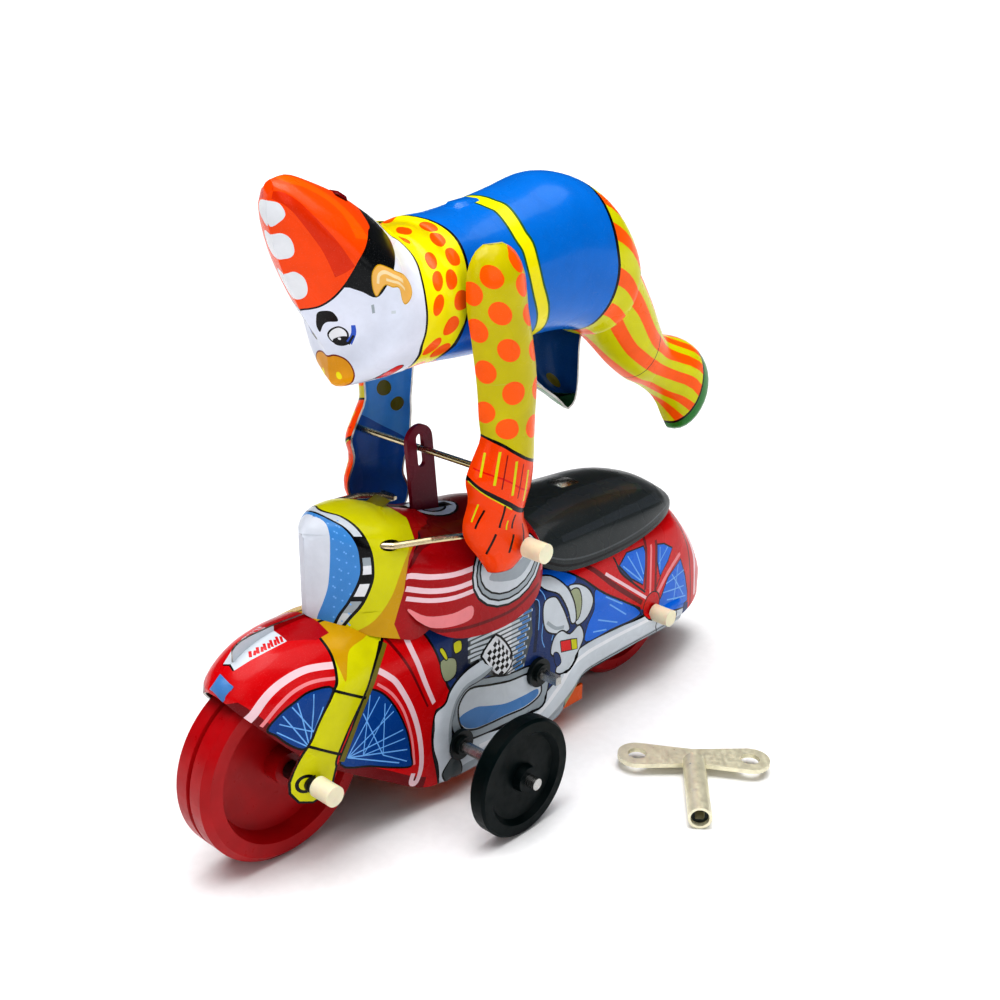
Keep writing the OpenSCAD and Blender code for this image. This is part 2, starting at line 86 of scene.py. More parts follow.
# clown: upper edge x z, lower edge x z, rim plane y, bulge, and for the torso how sharp its seam is
TORSO = [
    (69.2, 155.4, 70.2, 152.6, 0, 1.5, 2), (65, 156, 70.3, 146.5, 0, 6, 2),
    (59, 154, 67.2, 136.4, 0, 10.5, 2), (51, 150.4, 62.2, 126, 0, 14, 2),
    (44, 146, 56.6, 117.5, 0, 16, 2), (38.4, 142.2, 55, 109.6, 0, 16.4, 1.8),
    (34, 139.8, 45.5, 108.8, 0, 16, 1.3), (32.4, 141.6, 35.6, 110.4, 0, 16, 0.9),
    (31, 143.6, 30, 110.4, 0, 17.2, 0.9), (22, 144, 20, 109.8, 0, 17, 0.9),
    (12, 145.4, 9, 109.6, 0, 16.6, 0.9), (0, 147.8, 0, 110.2, 0, 16.4, 0.9),
    (-12, 150.2, -9, 110.4, 0, 17, 0.9), (-23, 148, -17, 110, 0, 17.6, 0.9),
    (-33, 141.6, -24, 108.6, 0, 17.4, 0.9), (-40, 131.5, -30, 106.6, 0, 15.5, 0.9),
    (-41, 124, -36, 112, 0, 8, 0.9)]
LEG_BACK = [
    (-38, 134, -22, 110, 0, 14), (-43, 127.5, -31, 105.6, 0, 13.6), (-51, 117, -42.5, 95.8, 0, 12),
    (-57.5, 107.5, -51, 89.8, 0, 10), (-61.5, 102.4, -57, 86.8, 0, 9), (-67, 99.8, -63, 83, 0, 9.4),
    (-75, 97.4, -67, 79, 0, 10.4), (-81, 93.5, -71, 73, 0, 10.4), (-85, 88, -74.6, 69.5, 0, 8.5),
    (-86, 83, -80, 73.5, 0, 2.5)]
LEG_DOWN = [
    (-36, 126, -8, 112, 0, 14), (-33, 112, -9, 108, 0, 13.4), (-31, 104, -9.5, 102.5, 0, 12.4),
    (-30.8, 97, -12, 97.5, 0, 10.6), (-30.6, 91.4, -16.5, 93.5, 0, 8.6),
    (-29.5, 87.4, -22, 89.6, 0, 5.4), (-27, 85.8, -25, 86.8, 0, 2)]
ARM = [
    (21, 139.4, 27, 139.6, 19, 1.5), (18, 137.4, 29.8, 138, 19, 3.8), (15.6, 132.6, 32, 134, 19, 5.8),
    (14.6, 124.6, 32.2, 127, 19, 6.6), (12.6, 115, 30.4, 117, 19.1, 6.8),
    (11.6, 107, 29.2, 108, 19.4, 6.6), (12, 99, 28.8, 100, 19.7, 6.2), (12.4, 93.4, 28.6, 95.6, 20, 6),
    (12.4, 89.4, 31, 91.4, 20, 6.4), (13.2, 82.4, 33.4, 86.6, 20, 6.8), (15, 77.4, 32.6, 81.4, 20, 6.2),
    (15.4, 73.4, 34.6, 76, 20.2, 5.6), (13.4, 69, 33.8, 71.6, 20.4, 5.4), (14.4, 64.4, 29.6, 66, 20.6, 4.6),
    (18, 61.2, 26.6, 61.6, 20.8, 2.5)]


def blend_rows(rows, per_gap=16):
    """Rows blended smoothly through the table, per_gap of them to each gap."""
    rows = np.array(rows, float)
    padded = np.vstack([rows[0], rows, rows[-1]])
    out = []
    for i in range(len(rows) - 1):
        a, b, c, d = padded[i:i + 4]
        for t in np.arange(per_gap) / per_gap:
            out.append(0.5 * (2 * b + (c - a) * t + (2 * a - 5 * b + 4 * c - d) * t ** 2
                              + (3 * b - a - 3 * c + d) * t ** 3))
    return np.array(out + [rows[-1]])


class BikeSheet:
    """Half the bike unrolled: x along it, v up the side wall, then over the shoulder to the seam."""

    def __init__(self, rows, relief=()):
        self.rows = blend_rows(rows)[::-1]
        self.relief = relief
        self.span = self.rows[0][0], self.rows[-1][0]

    def section(self, x):
        top, bottom, half, drop = [np.interp(x, self.rows[:, 0], self.rows[:, k]) for k in (1, 2, 3, 4)]
        drop = np.minimum(drop, (top - bottom) * 0.95)
        return top, bottom, half, drop, math.pi / 2 * np.sqrt((half ** 2 + drop ** 2) / 2)

    def edges(self, x):
        top, bottom, _, drop, arc = self.section(x)
        return bottom, top - drop + arc

    def outline(self):
        x = np.linspace(*self.span, int((self.span[1] - self.span[0]) / STEP * EDGE_FINER))
        lower, upper = self.edges(x)
        return list(zip(x, lower)), list(zip(x[::-1], upper[::-1]))

    def bare(self, x, v):
        top, _, half, drop, arc = self.section(x)
        angle = math.pi / 2 * (1 - np.clip((v - top + drop) / arc, 0, 1))
        wall = v <= top - drop
        return np.stack([x, np.where(wall, half, half * np.sin(angle)),
                         np.where(wall, v, top - drop * (1 - np.cos(angle)))], 1)


class FinSheet:
    """Number plate standing on the fender's seam: x along it, z up, half a sheet off the middle."""
    relief, span = (), (66, 86.4)

    def outline(self):
        crest = [(66, 55.6), (75, 55.2), (80, 54.4), (84, 52.8), (86.4, 51.4)]
        top = [(86.3, 55.4), (85.4, 56.2), (84, 56.8), (81.2, 57.3), (75, 57.6), (66, 57.3)]
        return crest, top

    def bare(self, x, z):
        return np.stack([x, np.full(len(x), SHEET / 2), z], 1)


class LimbSheet:
    """Half a limb or the torso unrolled: s along it in millimetres, t round it from its crest."""

    def __init__(self, rows, relief=()):
        self.rows = blend_rows(rows)
        self.relief = relief
        middle = (np.array(rows)[:, 0:2] + np.array(rows)[:, 2:4]) / 2
        length = np.concatenate([[0], np.cumsum(np.linalg.norm(np.diff(middle, axis=0), axis=1))])
        self.s = np.interp(np.arange(len(self.rows)) / (len(self.rows) - 1) * (len(rows) - 1),
                           np.arange(len(rows)), length)
        self.span = 0.0, length[-1]

    def section(self, s):
        x1, z1, x2, z2, rim, bulge = [np.interp(s, self.s, self.rows[:, k]) for k in range(6)]
        power = np.full(np.shape(s), ROUND_SEAM)
        if self.rows.shape[1] > 6:
            power = np.interp(s, self.s, self.rows[:, 6])
        reach = np.hypot(x1 - x2, z1 - z2) / 2
        arc = math.pi / 2 * np.sqrt((reach ** 2 + bulge ** 2) / 2)
        return (x1 + x2) / 2, (z1 + z2) / 2, (x1 - x2) / 2, (z1 - z2) / 2, rim, bulge, power, arc

    def edges(self, s):
        arc = self.section(s)[-1]
        return -arc, arc

    def outline(self):
        s = np.linspace(*self.span, int((self.span[1] - self.span[0]) / STEP * EDGE_FINER))
        lower, upper = self.edges(s)
        return list(zip(s, lower)), list(zip(s[::-1], upper[::-1]))

    def bare(self, s, t):
        x, z, dx, dz, rim, bulge, power, arc = self.section(s)
        angle = math.pi / 2 * (1 - np.clip(t / arc, -1, 1))
        return np.stack([x + dx * np.cos(angle), rim + bulge * np.clip(np.sin(angle), 1e-6, 1) ** power,
                         z + dz * np.cos(angle)], 1)


def slopes(place, p, q):
    """Outward normals of a sheet whose points are place(p, q)."""
    e = 0.08
    back = np.cross(place(p + e, q) - place(p - e, q), place(p, q + e) - place(p, q - e))
    flat = np.cross(place(p + e, q) - place(p - e, q), place(p, q) - place(p, q - 2 * e))
    size = np.linalg.norm(back, axis=1)
    back = np.where((size > 1e-6)[:, None], back, flat)
    back /= np.maximum(np.linalg.norm(back, axis=1), 1e-9)[:, None]
    return back if back[:, 1].sum() > 0 else -back


def distance(p, q, path):
    """Distance of each point from an open path."""
    best = np.full(len(p), 1e9)
    for (x0, y0), (x1, y1) in zip(path, path[1:]):
        dx, dy = x1 - x0, y1 - y0
        t = np.clip(((p - x0) * dx + (q - y0) * dy) / max(dx * dx + dy * dy, 1e-9), 0, 1)
        best = np.minimum(best, np.hypot(p - x0 - t * dx, q - y0 - t * dy))
    return best


def surface(sheet, p, q):
    """Points and normals of a sheet, its pressed relief included."""
    def place(p, q):
        points = sheet.bare(p, q)
        if not sheet.relief:
            return points
        rise = np.zeros(len(p))
        for path, width, height in sheet.relief:
            near = np.clip(distance(p, q, path) / (width / 2), 0, 1)
            rise = np.maximum(rise, height * np.sqrt(np.clip(1 - near ** 2, 0, 1)) * (near < 1))
        return points + slopes(sheet.bare, p, q) * rise[:, None]
    return place(p, q), slopes(place, p, q)


# ---------------------------------------------------------------- drawing on a sheet
def curve(points, closed=False, parts=4):
    """Smooth path through the points."""
    pts = np.array(points, float)
    n = len(pts)
    out = []
    for i in range(n if closed else n - 1):
        a, b, c, d = [pts[k % n] if closed else pts[min(max(k, 0), n - 1)] for k in (i - 1, i, i + 1, i
                + 2)]
        for t in np.arange(parts) / parts:
            out.append(0.5 * (2 * b + (c - a) * t + (2 * a - 5 * b + 4 * c - d) * t ** 2
                              + (3 * b - a - 3 * c + d) * t ** 3))
    return out if closed else out + [pts[-1]]


def stroke(path, width):
    """Band of one width, or tapering between two, along a path."""
    path = np.array(path, float)
    if isinstance(width, tuple):
        ends = np.linspace(width[0], width[1], len(path))
    else:
        ends = np.full(len(path), width)
    way = np.gradient(path, axis=0)
    way /= np.maximum(np.linalg.norm(way, axis=1), 1e-9)[:, None]
    side = np.stack([-way[:, 1], way[:, 0]], 1) * ends[:, None] / 2
    return list(path + side) + list((path - side)[::-1])


def area(ink, points, edge=0.0, edge_ink="black", smooth=True):
    shape = curve(points, True) if smooth else [np.array(p, float) for p in points]
    out = [(ink, shape)]
    if edge:
        out.append((edge_ink, stroke(list(shape) + [shape[0]], edge)))
    return out


def panel(ink, points, edge=0.0, edge_ink="black"):
    return area(ink, points, edge, edge_ink, smooth=False)


def line(ink, points, width, smooth=True):
    return [(ink, stroke(curve(points) if smooth else points, width))]


def dot(ink, p, q, rp, rq=None, turn=0.0, edge=0.0, edge_ink="black", n=20):
    rq = rp if rq is None else rq
    c, s = math.cos(math.radians(turn)), math.sin(math.radians(turn))
    ring = [(p + rp * math.cos(a) * c - rq * math.sin(a) * s,
             q + rp * math.cos(a) * s + rq * math.sin(a) * c) for a in np.arange(n) * 2 * math.pi / n]
    return area(ink, ring, edge, edge_ink, smooth=False)


def inside(p, q, shape):
    """Which points have the closed shape wound round them."""
    ring = np.array(shape)
    turns = np.zeros(len(p), int)
    lo, hi = ring.min(0), ring.max(0)
    near = (p >= lo[0]) & (p <= hi[0]) & (q >= lo[1]) & (q <= hi[1])
    pn, qn = p[near], q[near]
    count = np.zeros(len(pn), int)
    for (x0, y0), (x1, y1) in zip(ring, np.roll(ring, -1, 0)):
        left = (x1 - x0) * (qn - y0) - (pn - x0) * (y1 - y0)
        count += ((y0 <= qn) & (y1 > qn) & (left > 0)).astype(int)
        count -= ((y0 > qn) & (y1 <= qn) & (left < 0)).astype(int)
    turns[near] = count
    return turns != 0


class Tin:
    """Gathers skins and rims of one piece, then makes its mesh."""

    def __init__(self, name, side=1):
        self.name, self.side = name, side
        self.points, self.normals, self.faces, self.inks = [], [], [], []

    def add(self, points, normals, faces, inks):
        base = len(self.points)
        self.points += [tuple(p) for p in points]
        self.normals += [tuple(n) for n in normals]
        self.faces += [tuple(base + i for i in f) for f in faces]
        self.inks += inks

    def skin(self, sheet, ground, shapes, back, back_shapes=(), holes=(), outline=None,
             caps=(), step=STEP):
        """Both faces of a sheet and its cut edge. outline replaces the lower part of the sheet's own."""
        lower, upper = sheet.outline()
        ring = (outline(lower) if outline else lower) + upper
        for depth, base, drawn in ((0.0, ground, shapes), (SHEET, back, back_shapes)):
            flat, faces, inks = triangles(sheet, ring, base, drawn, holes,
                                          step if depth == 0 else step * INNER_COARSER)
            points, normals = surface(sheet, flat[:, 0], flat[:, 1])
            if depth:
                self.add(points - normals * depth, -normals, [f[::-1] for f in faces], inks)
            else:
                self.add(points, normals, faces, inks)
                self.rim(points, normals, faces)
        for end, ink in zip(sheet.span, caps):
            if ink:
                self.cap(sheet, end, ink)

    def cap(self, sheet, end, ink):
        """Flat end of a sheet, as a fan from its middle."""
        lower, upper = sheet.edges(np.array([end]))
        q = np.linspace(lower[0], upper[0], CAP_POINTS)
        ring = sheet.bare(np.full(CAP_POINTS, end), q)
        if isinstance(sheet, BikeSheet):
            ring = np.vstack([[end, 0, ring[0][2]], ring])
        middle = (ring[0] + ring[-1]) / 2
        points = np.vstack([middle, ring])
        faces = [(0, i, i + 1) for i in range(1, len(points) - 1)]
        self.add(points, np.zeros((len(points), 3)), faces, [ink] * len(faces))

    def rim(self, points, normals, faces):
        """Cut edge of a sheet: a strip between its two faces wherever a triangle has no neighbour."""
        sides = [(a, b) for f in faces for a, b in zip(f, f[1:] + f[:1])]
        shared = set(sides)
        used, edge = np.unique([(a, b) for a, b in sides if (b, a) not in shared], return_inverse=True)
        edge = edge.reshape(-1, 2).tolist()
        n = len(used)
        self.add(np.vstack([points[used], points[used] - normals[used] * SHEET]), np.zeros((2 * n, 3)),
                 [(a, n + a, n + b, b) for a, b in edge], ["tin_edge"] * len(edge))

    def tab(self, place, along, up, size, ink):
        """Folded strip of tin that closes a seam: a low bevelled block."""
        place, along, up = [Vector(v) for v in (place, along, up)]
        across = along.cross(up).normalized() * size[1] / 2
        along = along.normalized() * size[0] / 2
        box = [place + up.normalized() * size[2] * k + (i * along + j * across) * (1 - 0.25 * k)
               for k in (0, 1) for i, j in ((-1, -1), (1, -1), (1, 1), (-1, 1))]
        faces = [(4, 5, 6, 7), (0, 1, 5, 4), (1, 2, 6, 5), (2, 3, 7, 6), (3, 0, 4, 7)]
        self.add(box, [(0, 0, 0)] * 8, faces, [ink] * 5)

    def finish(self, body, *nodes, slot=None):
        flip = Vector((1, self.side, 1))
        mesh = bpy.data.meshes.new(self.name)
        points = [(Vector(p) * flip + SHIFT) * MM for p in self.points]
        faces = self.faces if self.side > 0 else [f[::-1] for f in self.faces]
        mesh.from_pydata(points, [], faces)
        used = sorted(set(self.inks))
        for ink in used:
            mesh.materials.append(material(ink))
        mesh.polygons.foreach_set("material_index", [used.index(i) for i in self.inks])
        mesh.polygons.foreach_set("use_smooth", [True] * len(mesh.polygons))
        normals = [Vector(n) * flip for n in self.normals]
        mesh.normals_split_custom_set_from_vertices([tuple(n) for n in normals])
        piece = bpy.data.objects.new(self.name, mesh)
        scene.collection.objects.link(piece)
        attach(piece, body)
        if nodes:
            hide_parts(*nodes)
        return piece


def triangles(sheet, ring, ground, shapes, holes, step):
    """Flat triangles of a sheet, cut along every drawn edge, with the ink of each."""
    points = [Vector(p) for p in ring]
    edges = [(i, (i + 1) % len(ring)) for i in range(len(ring))]
    for shape in [s for _, s in shapes] + list(holes):
        base = len(points)
        points += [Vector((float(p[0]), float(p[1]))) for p in shape]
        edges += [(base + i, base + (i + 1) % len(shape)) for i in range(len(shape))]
    box = np.array(ring)
    p, q = np.meshgrid(np.arange(box[:, 0].min(), box[:, 0].max(), step),
                       np.arange(box[:, 1].min(), box[:, 1].max(), step))
    q = q + (np.arange(p.shape[1]) % 2)[None, :] * step / 2
    p, q = p.ravel(), q.ravel()
    keep = inside(p, q, ring)
    points += [Vector((float(a), float(b))) for a, b in zip(p[keep], q[keep])]
    verts, _, faces = delaunay_2d_cdt(points, edges, [], 0, 1e-3)[:3]
    flat = np.array([(v.x, v.y) for v in verts])
    faces = np.array([f for f in faces if len(f) == 3])
    mid = flat[faces].mean(1)
    keep = inside(mid[:, 0], mid[:, 1], ring)
    for hole in holes:
        keep &= ~inside(mid[:, 0], mid[:, 1], hole)
    faces, mid = faces[keep], mid[keep]
    names = [ground] + [ink for ink, _ in shapes]
    top = np.zeros(len(faces), int)
    for k, (_, shape) in enumerate(shapes):
        top[inside(mid[:, 0], mid[:, 1], shape)] = k + 1
    used, faces = np.unique(faces, return_inverse=True)
    flat, faces = flat[used], faces.reshape(-1, 3)
    first, normals = surface(sheet, flat[:, 0], flat[:, 1])
    a, b, c = first[faces[:, 0]], first[faces[:, 1]], first[faces[:, 2]]
    turned = (np.cross(b - a, c - a) * normals[faces[:, 0]]).sum(1) < 0
    faces = [tuple(f[::-1]) if t else tuple(f) for f, t in zip(faces.tolist(), turned)]
    return flat, faces, [names[k] for k in top]


# ---------------------------------------------------------------- materials
INKS = {"red": (0.80, 0.0, 0.04), "dark_red": (0.44, 0.0, 0.04), "tank_red": (0.66, 0.0, 0.05),
        "bright_red": (0.86, 0.04, 0.04), "pink": (0.93, 0.55, 0.57), "white": (0.90, 0.91, 0.93),
        "stripe": (0.94, 0.80, 0.83), "black": (0.035, 0.03, 0.04), "sector_blue": (0.0, 0.26, 0.55),
        "spoke": (0.46, 0.70, 0.95), "navy": (0.09, 0.20, 0.42), "deep_navy": (0.03, 0.10, 0.24),
        "sky": (0.02, 0.42, 0.86), "yellow": (0.83, 0.82, 0.0), "ochre": (0.80, 0.61, 0.0),
        "olive": (0.45, 0.42, 0.10), "silver": (0.80, 0.83, 0.86), "grey": (0.62, 0.66, 0.69),
        "dark_grey": (0.30, 0.33, 0.34), "sage": (0.62, 0.65, 0.52), "case_blue": (0.30, 0.52, 0.76),
        "lens": (0.84, 0.86, 0.90), "lens_blue": (0.28, 0.55, 0.82), "orange": (0.97, 0.30, 0.0),
        "dot_orange": (1.0, 0.38, 0.0), "deep_orange": (0.95, 0.28, 0.0), "face": (0.87, 0.89, 0.95),
        "torso_blue": (0.0, 0.43, 0.80), "tan": (0.93, 0.72, 0.38), "hair": (0.06, 0.07, 0.08),
        "nose": (0.88, 0.60, 0.06), "collar": (0.95, 0.90, 0.0), "sole": (0.13, 0.48, 0.16),
        "eye_blue": (0.20, 0.35, 0.75), "green": (0.15, 0.35, 0.12), "inside_blue": (0.34, 0.66, 0.95),
        "inside_dark": (0.16, 0.40, 0.72), "seat": (0.17, 0.19, 0.195), "seat_line": (0.30, 0.32, 0.33),
        "cream": (0.95, 0.86, 0.68), "arm_yellow": (0.78, 0.73, 0.0), "seat_shine": (0.215, 0.235, 0.25),
        "inside_navy": (0.07, 0.29, 0.51), "sole_dark": (0.16, 0.33, 0.22), "red_orange": (0.86, 0.20, 0.0)}
_made = {}


def linear(rgb):
    return tuple(c / 12.92 if c < 0.04045 else ((c + 0.055) / 1.055) ** 2.4 for c in rgb) + (1.0,)


class Nodes:
    """A material and short ways to add nodes to it."""

    def __init__(self, name):
        self.mat = bpy.data.materials.new(name)
        self.mat.use_nodes = True
        self.tree = self.mat.node_tree
        self.bsdf = next(n for n in self.tree.nodes if n.type == "BSDF_PRINCIPLED")
        self.coords = self.tree.nodes.new("ShaderNodeTexCoord").outputs["Object"]

    def set(self, **values):
        for key, value in values.items():
            self.bsdf.inputs[key.replace("_", " ")].default_value = value

    def node(self, kind, links=(), **values):
        made = self.tree.nodes.new(kind)
        for key, value in values.items():
            setattr(made, key, value)
        for key, value in dict(links).items():
            socket = made.inputs[key]
            if isinstance(value, bpy.types.NodeSocket):
                self.tree.links.new(value, socket)
            else:
                socket.default_value = value
        return made

    def noise(self, scale, detail=3.0, rough=0.5, stretch=None, distort=0.0):
        source = self.coords
        if stretch:
            source = self.node("ShaderNodeMapping", {"Vector": source, "Scale": stretch}).outputs[0]
        return self.node("ShaderNodeTexNoise", {"Vector": source, "Scale": scale, "Detail": detail,
                                                "Roughness": rough, "Distortion": distort}).outputs["Fac"]

    def ramp(self, value, lo, hi, out_lo, out_hi):
        return self.node("ShaderNodeMapRange", {"Value": value, "From Min": lo, "From Max": hi,
                                                "To Min": out_lo, "To Max": out_hi}).outputs["Result"]

    def mix(self, a, b, factor, blend="MIX"):
        made = self.node("ShaderNodeMix", data_type="RGBA", blend_type=blend)
        for key, value in (("Factor", factor), ("A", a), ("B", b)):
            socket = next(s for s in made.inputs if s.name == key and s.type == ("VALUE"
                    if key == "Factor" else "RGBA"))
            if isinstance(value, bpy.types.NodeSocket):
                self.tree.links.new(value, socket)
            else:
                socket.default_value = value
        return next(s for s in made.outputs if s.type == "RGBA")

    def link(self, key, value):
        self.tree.links.new(value, self.bsdf.inputs[key])

    def bump(self, *layers):
        """layers: (height socket, strength, distance in metres)"""
        normal = None
        for height, strength, reach in layers:
            made = self.node("ShaderNodeBump", {"Height": height, "Strength": strength, "Distance": reach})
            if normal:
                self.tree.links.new(normal, made.inputs["Normal"])
            normal = made.outputs[0]
        self.tree.links.new(normal, self.bsdf.inputs["Normal"])


def printed_ink(name, rgb):
    """Ink under varnish on tin: faint mottling, hairline rubs down to lighter tin, gentle ripples."""
    n = Nodes("ink_" + name)
    base = linear(rgb)
    dark = tuple(c * 0.80 for c in base[:3]) + (1.0,)
    mottle = n.ramp(n.noise(140, 4.0, 0.6), 0.35, 0.70, 0.0, 0.55)
    tone = n.mix(base, dark, mottle)
    speckle = n.ramp(n.noise(5200, 1.0), 0.62, 0.75, 0.0, 0.05)
    tone = n.mix(tone, (0.9, 0.9, 0.9, 1.0), speckle)
    rub = n.ramp(n.noise(30, 2.0, 0.7, (1.0, 1.0, 34.0), 0.6), 0.755, 0.80, 0.0, 0.30)
    tone = n.mix(tone, linear((0.75, 0.74, 0.72)), rub)
    n.link("Base Color", tone)
    n.link("Roughness", n.ramp(n.noise(70, 3.0), 0.3, 0.7, 0.20, 0.36))
    n.set(Coat_Weight=0.12, Coat_Roughness=0.08, Specular_IOR_Level=0.12)
    n.bump((n.noise(38, 2.0), 0.22, 0.0012), (n.noise(2400, 2.0), 0.05, 0.0001))
    return n.mat


def metal(name, rgb, rough, grain=(1.0, 1.0, 1.0), dull=0.6, metallic=1.0):
    n = Nodes(name)
    base = linear(rgb)
    dark = tuple(c * dull for c in base[:3]) + (1.0,)
    n.link("Base Color", n.mix(base, dark, n.ramp(n.noise(260, 5.0, 0.65), 0.42, 0.72, 0.0, 1.0)))
    n.link("Roughness", n.ramp(n.noise(900, 3.0, 0.6, grain), 0.25, 0.75, rough * 0.65, rough * 1.5))
    n.set(Metallic=metallic)
    n.bump((n.noise(1500, 3.0, 0.6, grain), 0.18, 0.00012))
    return n.mat


def moulded(name, rgb, rough, soft=0.0, dust=0.0, coat=0.0, shine=0.4):
    n = Nodes(name)
    base = linear(rgb)
    tone = n.mix(base, tuple(c * 0.72 for c in base[:3]) + (1.0,), n.ramp(n.noise(120, 4.0), 0.40, 0.72,
            0.0, 0.8))
    if dust:
        tone = n.mix(tone, (0.45, 0.43, 0.40, 1.0), n.ramp(n.noise(1700, 4.0, 0.7), 0.60, 0.80, 0.0, dust))
    n.link("Base Color", tone)
    n.link("Roughness", n.ramp(n.noise(420, 4.0, 0.6), 0.3, 0.7, rough * 0.75, rough * 1.35))
    n.set(Coat_Weight=coat, Coat_Roughness=0.12, Subsurface_Weight=soft, Subsurface_Scale=0.002,
          Specular_IOR_Level=shine)
    n.bump((n.noise(800, 3.0), 0.10, 0.00015), (n.noise(90, 2.0), 0.12, 0.0006))
    return n.mat


SPECIAL = {
    "tin_edge": lambda: metal("tin_edge", (0.72, 0.71, 0.69), 0.32),
    "tin_inside": lambda: metal("tin_inside", (0.58, 0.57, 0.54), 0.40, dull=0.7),
    "steel": lambda: metal("steel", (0.72, 0.72, 0.71), 0.24, (1.0, 30.0, 1.0)),
    "dark_steel": lambda: metal("dark_steel", (0.30, 0.30, 0.31), 0.34),
    "brass": lambda: metal("brass", (0.80, 0.66, 0.36), 0.28),
    "wire": lambda: metal("wire", (0.84, 0.78, 0.64), 0.22, (1.0, 14.0, 1.0), 0.72),
    "nickel": lambda: metal("nickel", (0.93, 0.91, 0.80), 0.40, dull=0.80, metallic=0.6),
    "spring_steel": lambda: metal("spring_steel", (0.32, 0.36, 0.42), 0.22, (1.0, 1.0, 20.0)),
    "wheel_red": lambda: moulded("wheel_red", (0.68, 0.03, 0.07), 0.34, coat=0.05, shine=0.2),
    "wheel_black": lambda: moulded("wheel_black", (0.0, 0.05, 0.055), 0.40, dust=0.015, shine=0.10),
    "bush_black": lambda: moulded("bush_black", (0.05, 0.09, 0.09), 0.36, dust=0.05, shine=0.25),
    "ivory": lambda: moulded("ivory", (0.95, 0.92, 0.80), 0.36, soft=0.30),
    "maroon": lambda: printed_ink("maroon", (0.48, 0.08, 0.18)),
    "base_orange": lambda: printed_ink("base_orange", (0.88, 0.36, 0.06))}


def material(name):
    if name not in _made:
        _made[name] = SPECIAL[name]() if name in SPECIAL else printed_ink(name, INKS[name])
    return _made[name]


# ---------------------------------------------------------------- what is drawn on the bike
def hem(sheet, x0, x1, up):
    """Path that keeps a set height above the lower edge of a bike sheet."""
    x = np.linspace(x0, x1, max(int(abs(x1 - x0) / 3), 2))
    return [(a, b + up) for a, b in zip(x, sheet.edges(x)[0])]


def flecks(ink, start, ends, width=0.35):
    """Fan of thin rays from one point."""
    out = []
    for end in ends:
        out += line(ink, [start, end], width, smooth=False)
    return out


PIPES = [([(33, 9.5), (18, 9.4), (4, 9.2), (-4, 12), (-9.5, 15.4), (-15, 19.6), (-24, 20.2), (-42, 19.8),
           (-62, 18.4)], 7.6, 1.3), ([(23.5, 33.2), (31, 32.6), (36, 29), (38, 22.5), (37.8, 15.6),
                                      (36.4, 9)], 6.4, 1.2), ([(16, 30), (21.5, 38)], 6.5, 0.8)]
FORK = [([(61, 54), (64.5, 45.5), (70.5, 36), (77, 23.5)], 9, 0.5)]
low_sheet = BikeSheet(LOW, PIPES + FORK)
lamp_sheet, tank_sheet, seat_sheet = BikeSheet(LAMP), BikeSheet(TANK), BikeSheet(SEAT)


def fork_tab(lower):
    """Lower edge of the bike with the fork leg hanging down to the front axle."""
    tab = [(70.4, 24.4), (71.6, 21.6), (73.6, 19.1), (77, 18), (80.4, 19.1), (82.3, 22), (82.3, 25),
           (80.9, 28.2), (79.2, 31.2)]
    return [p for p in lower if p[0] < 70.2] + tab + [p for p in lower if p[0] > 79.4]


PLATE_BARS = 10
CYLINDER_FINS = 13
CHECK = 1.24        # pitch of the chequered barrel
SPECKLES = 46       # dots in the lamp's glass


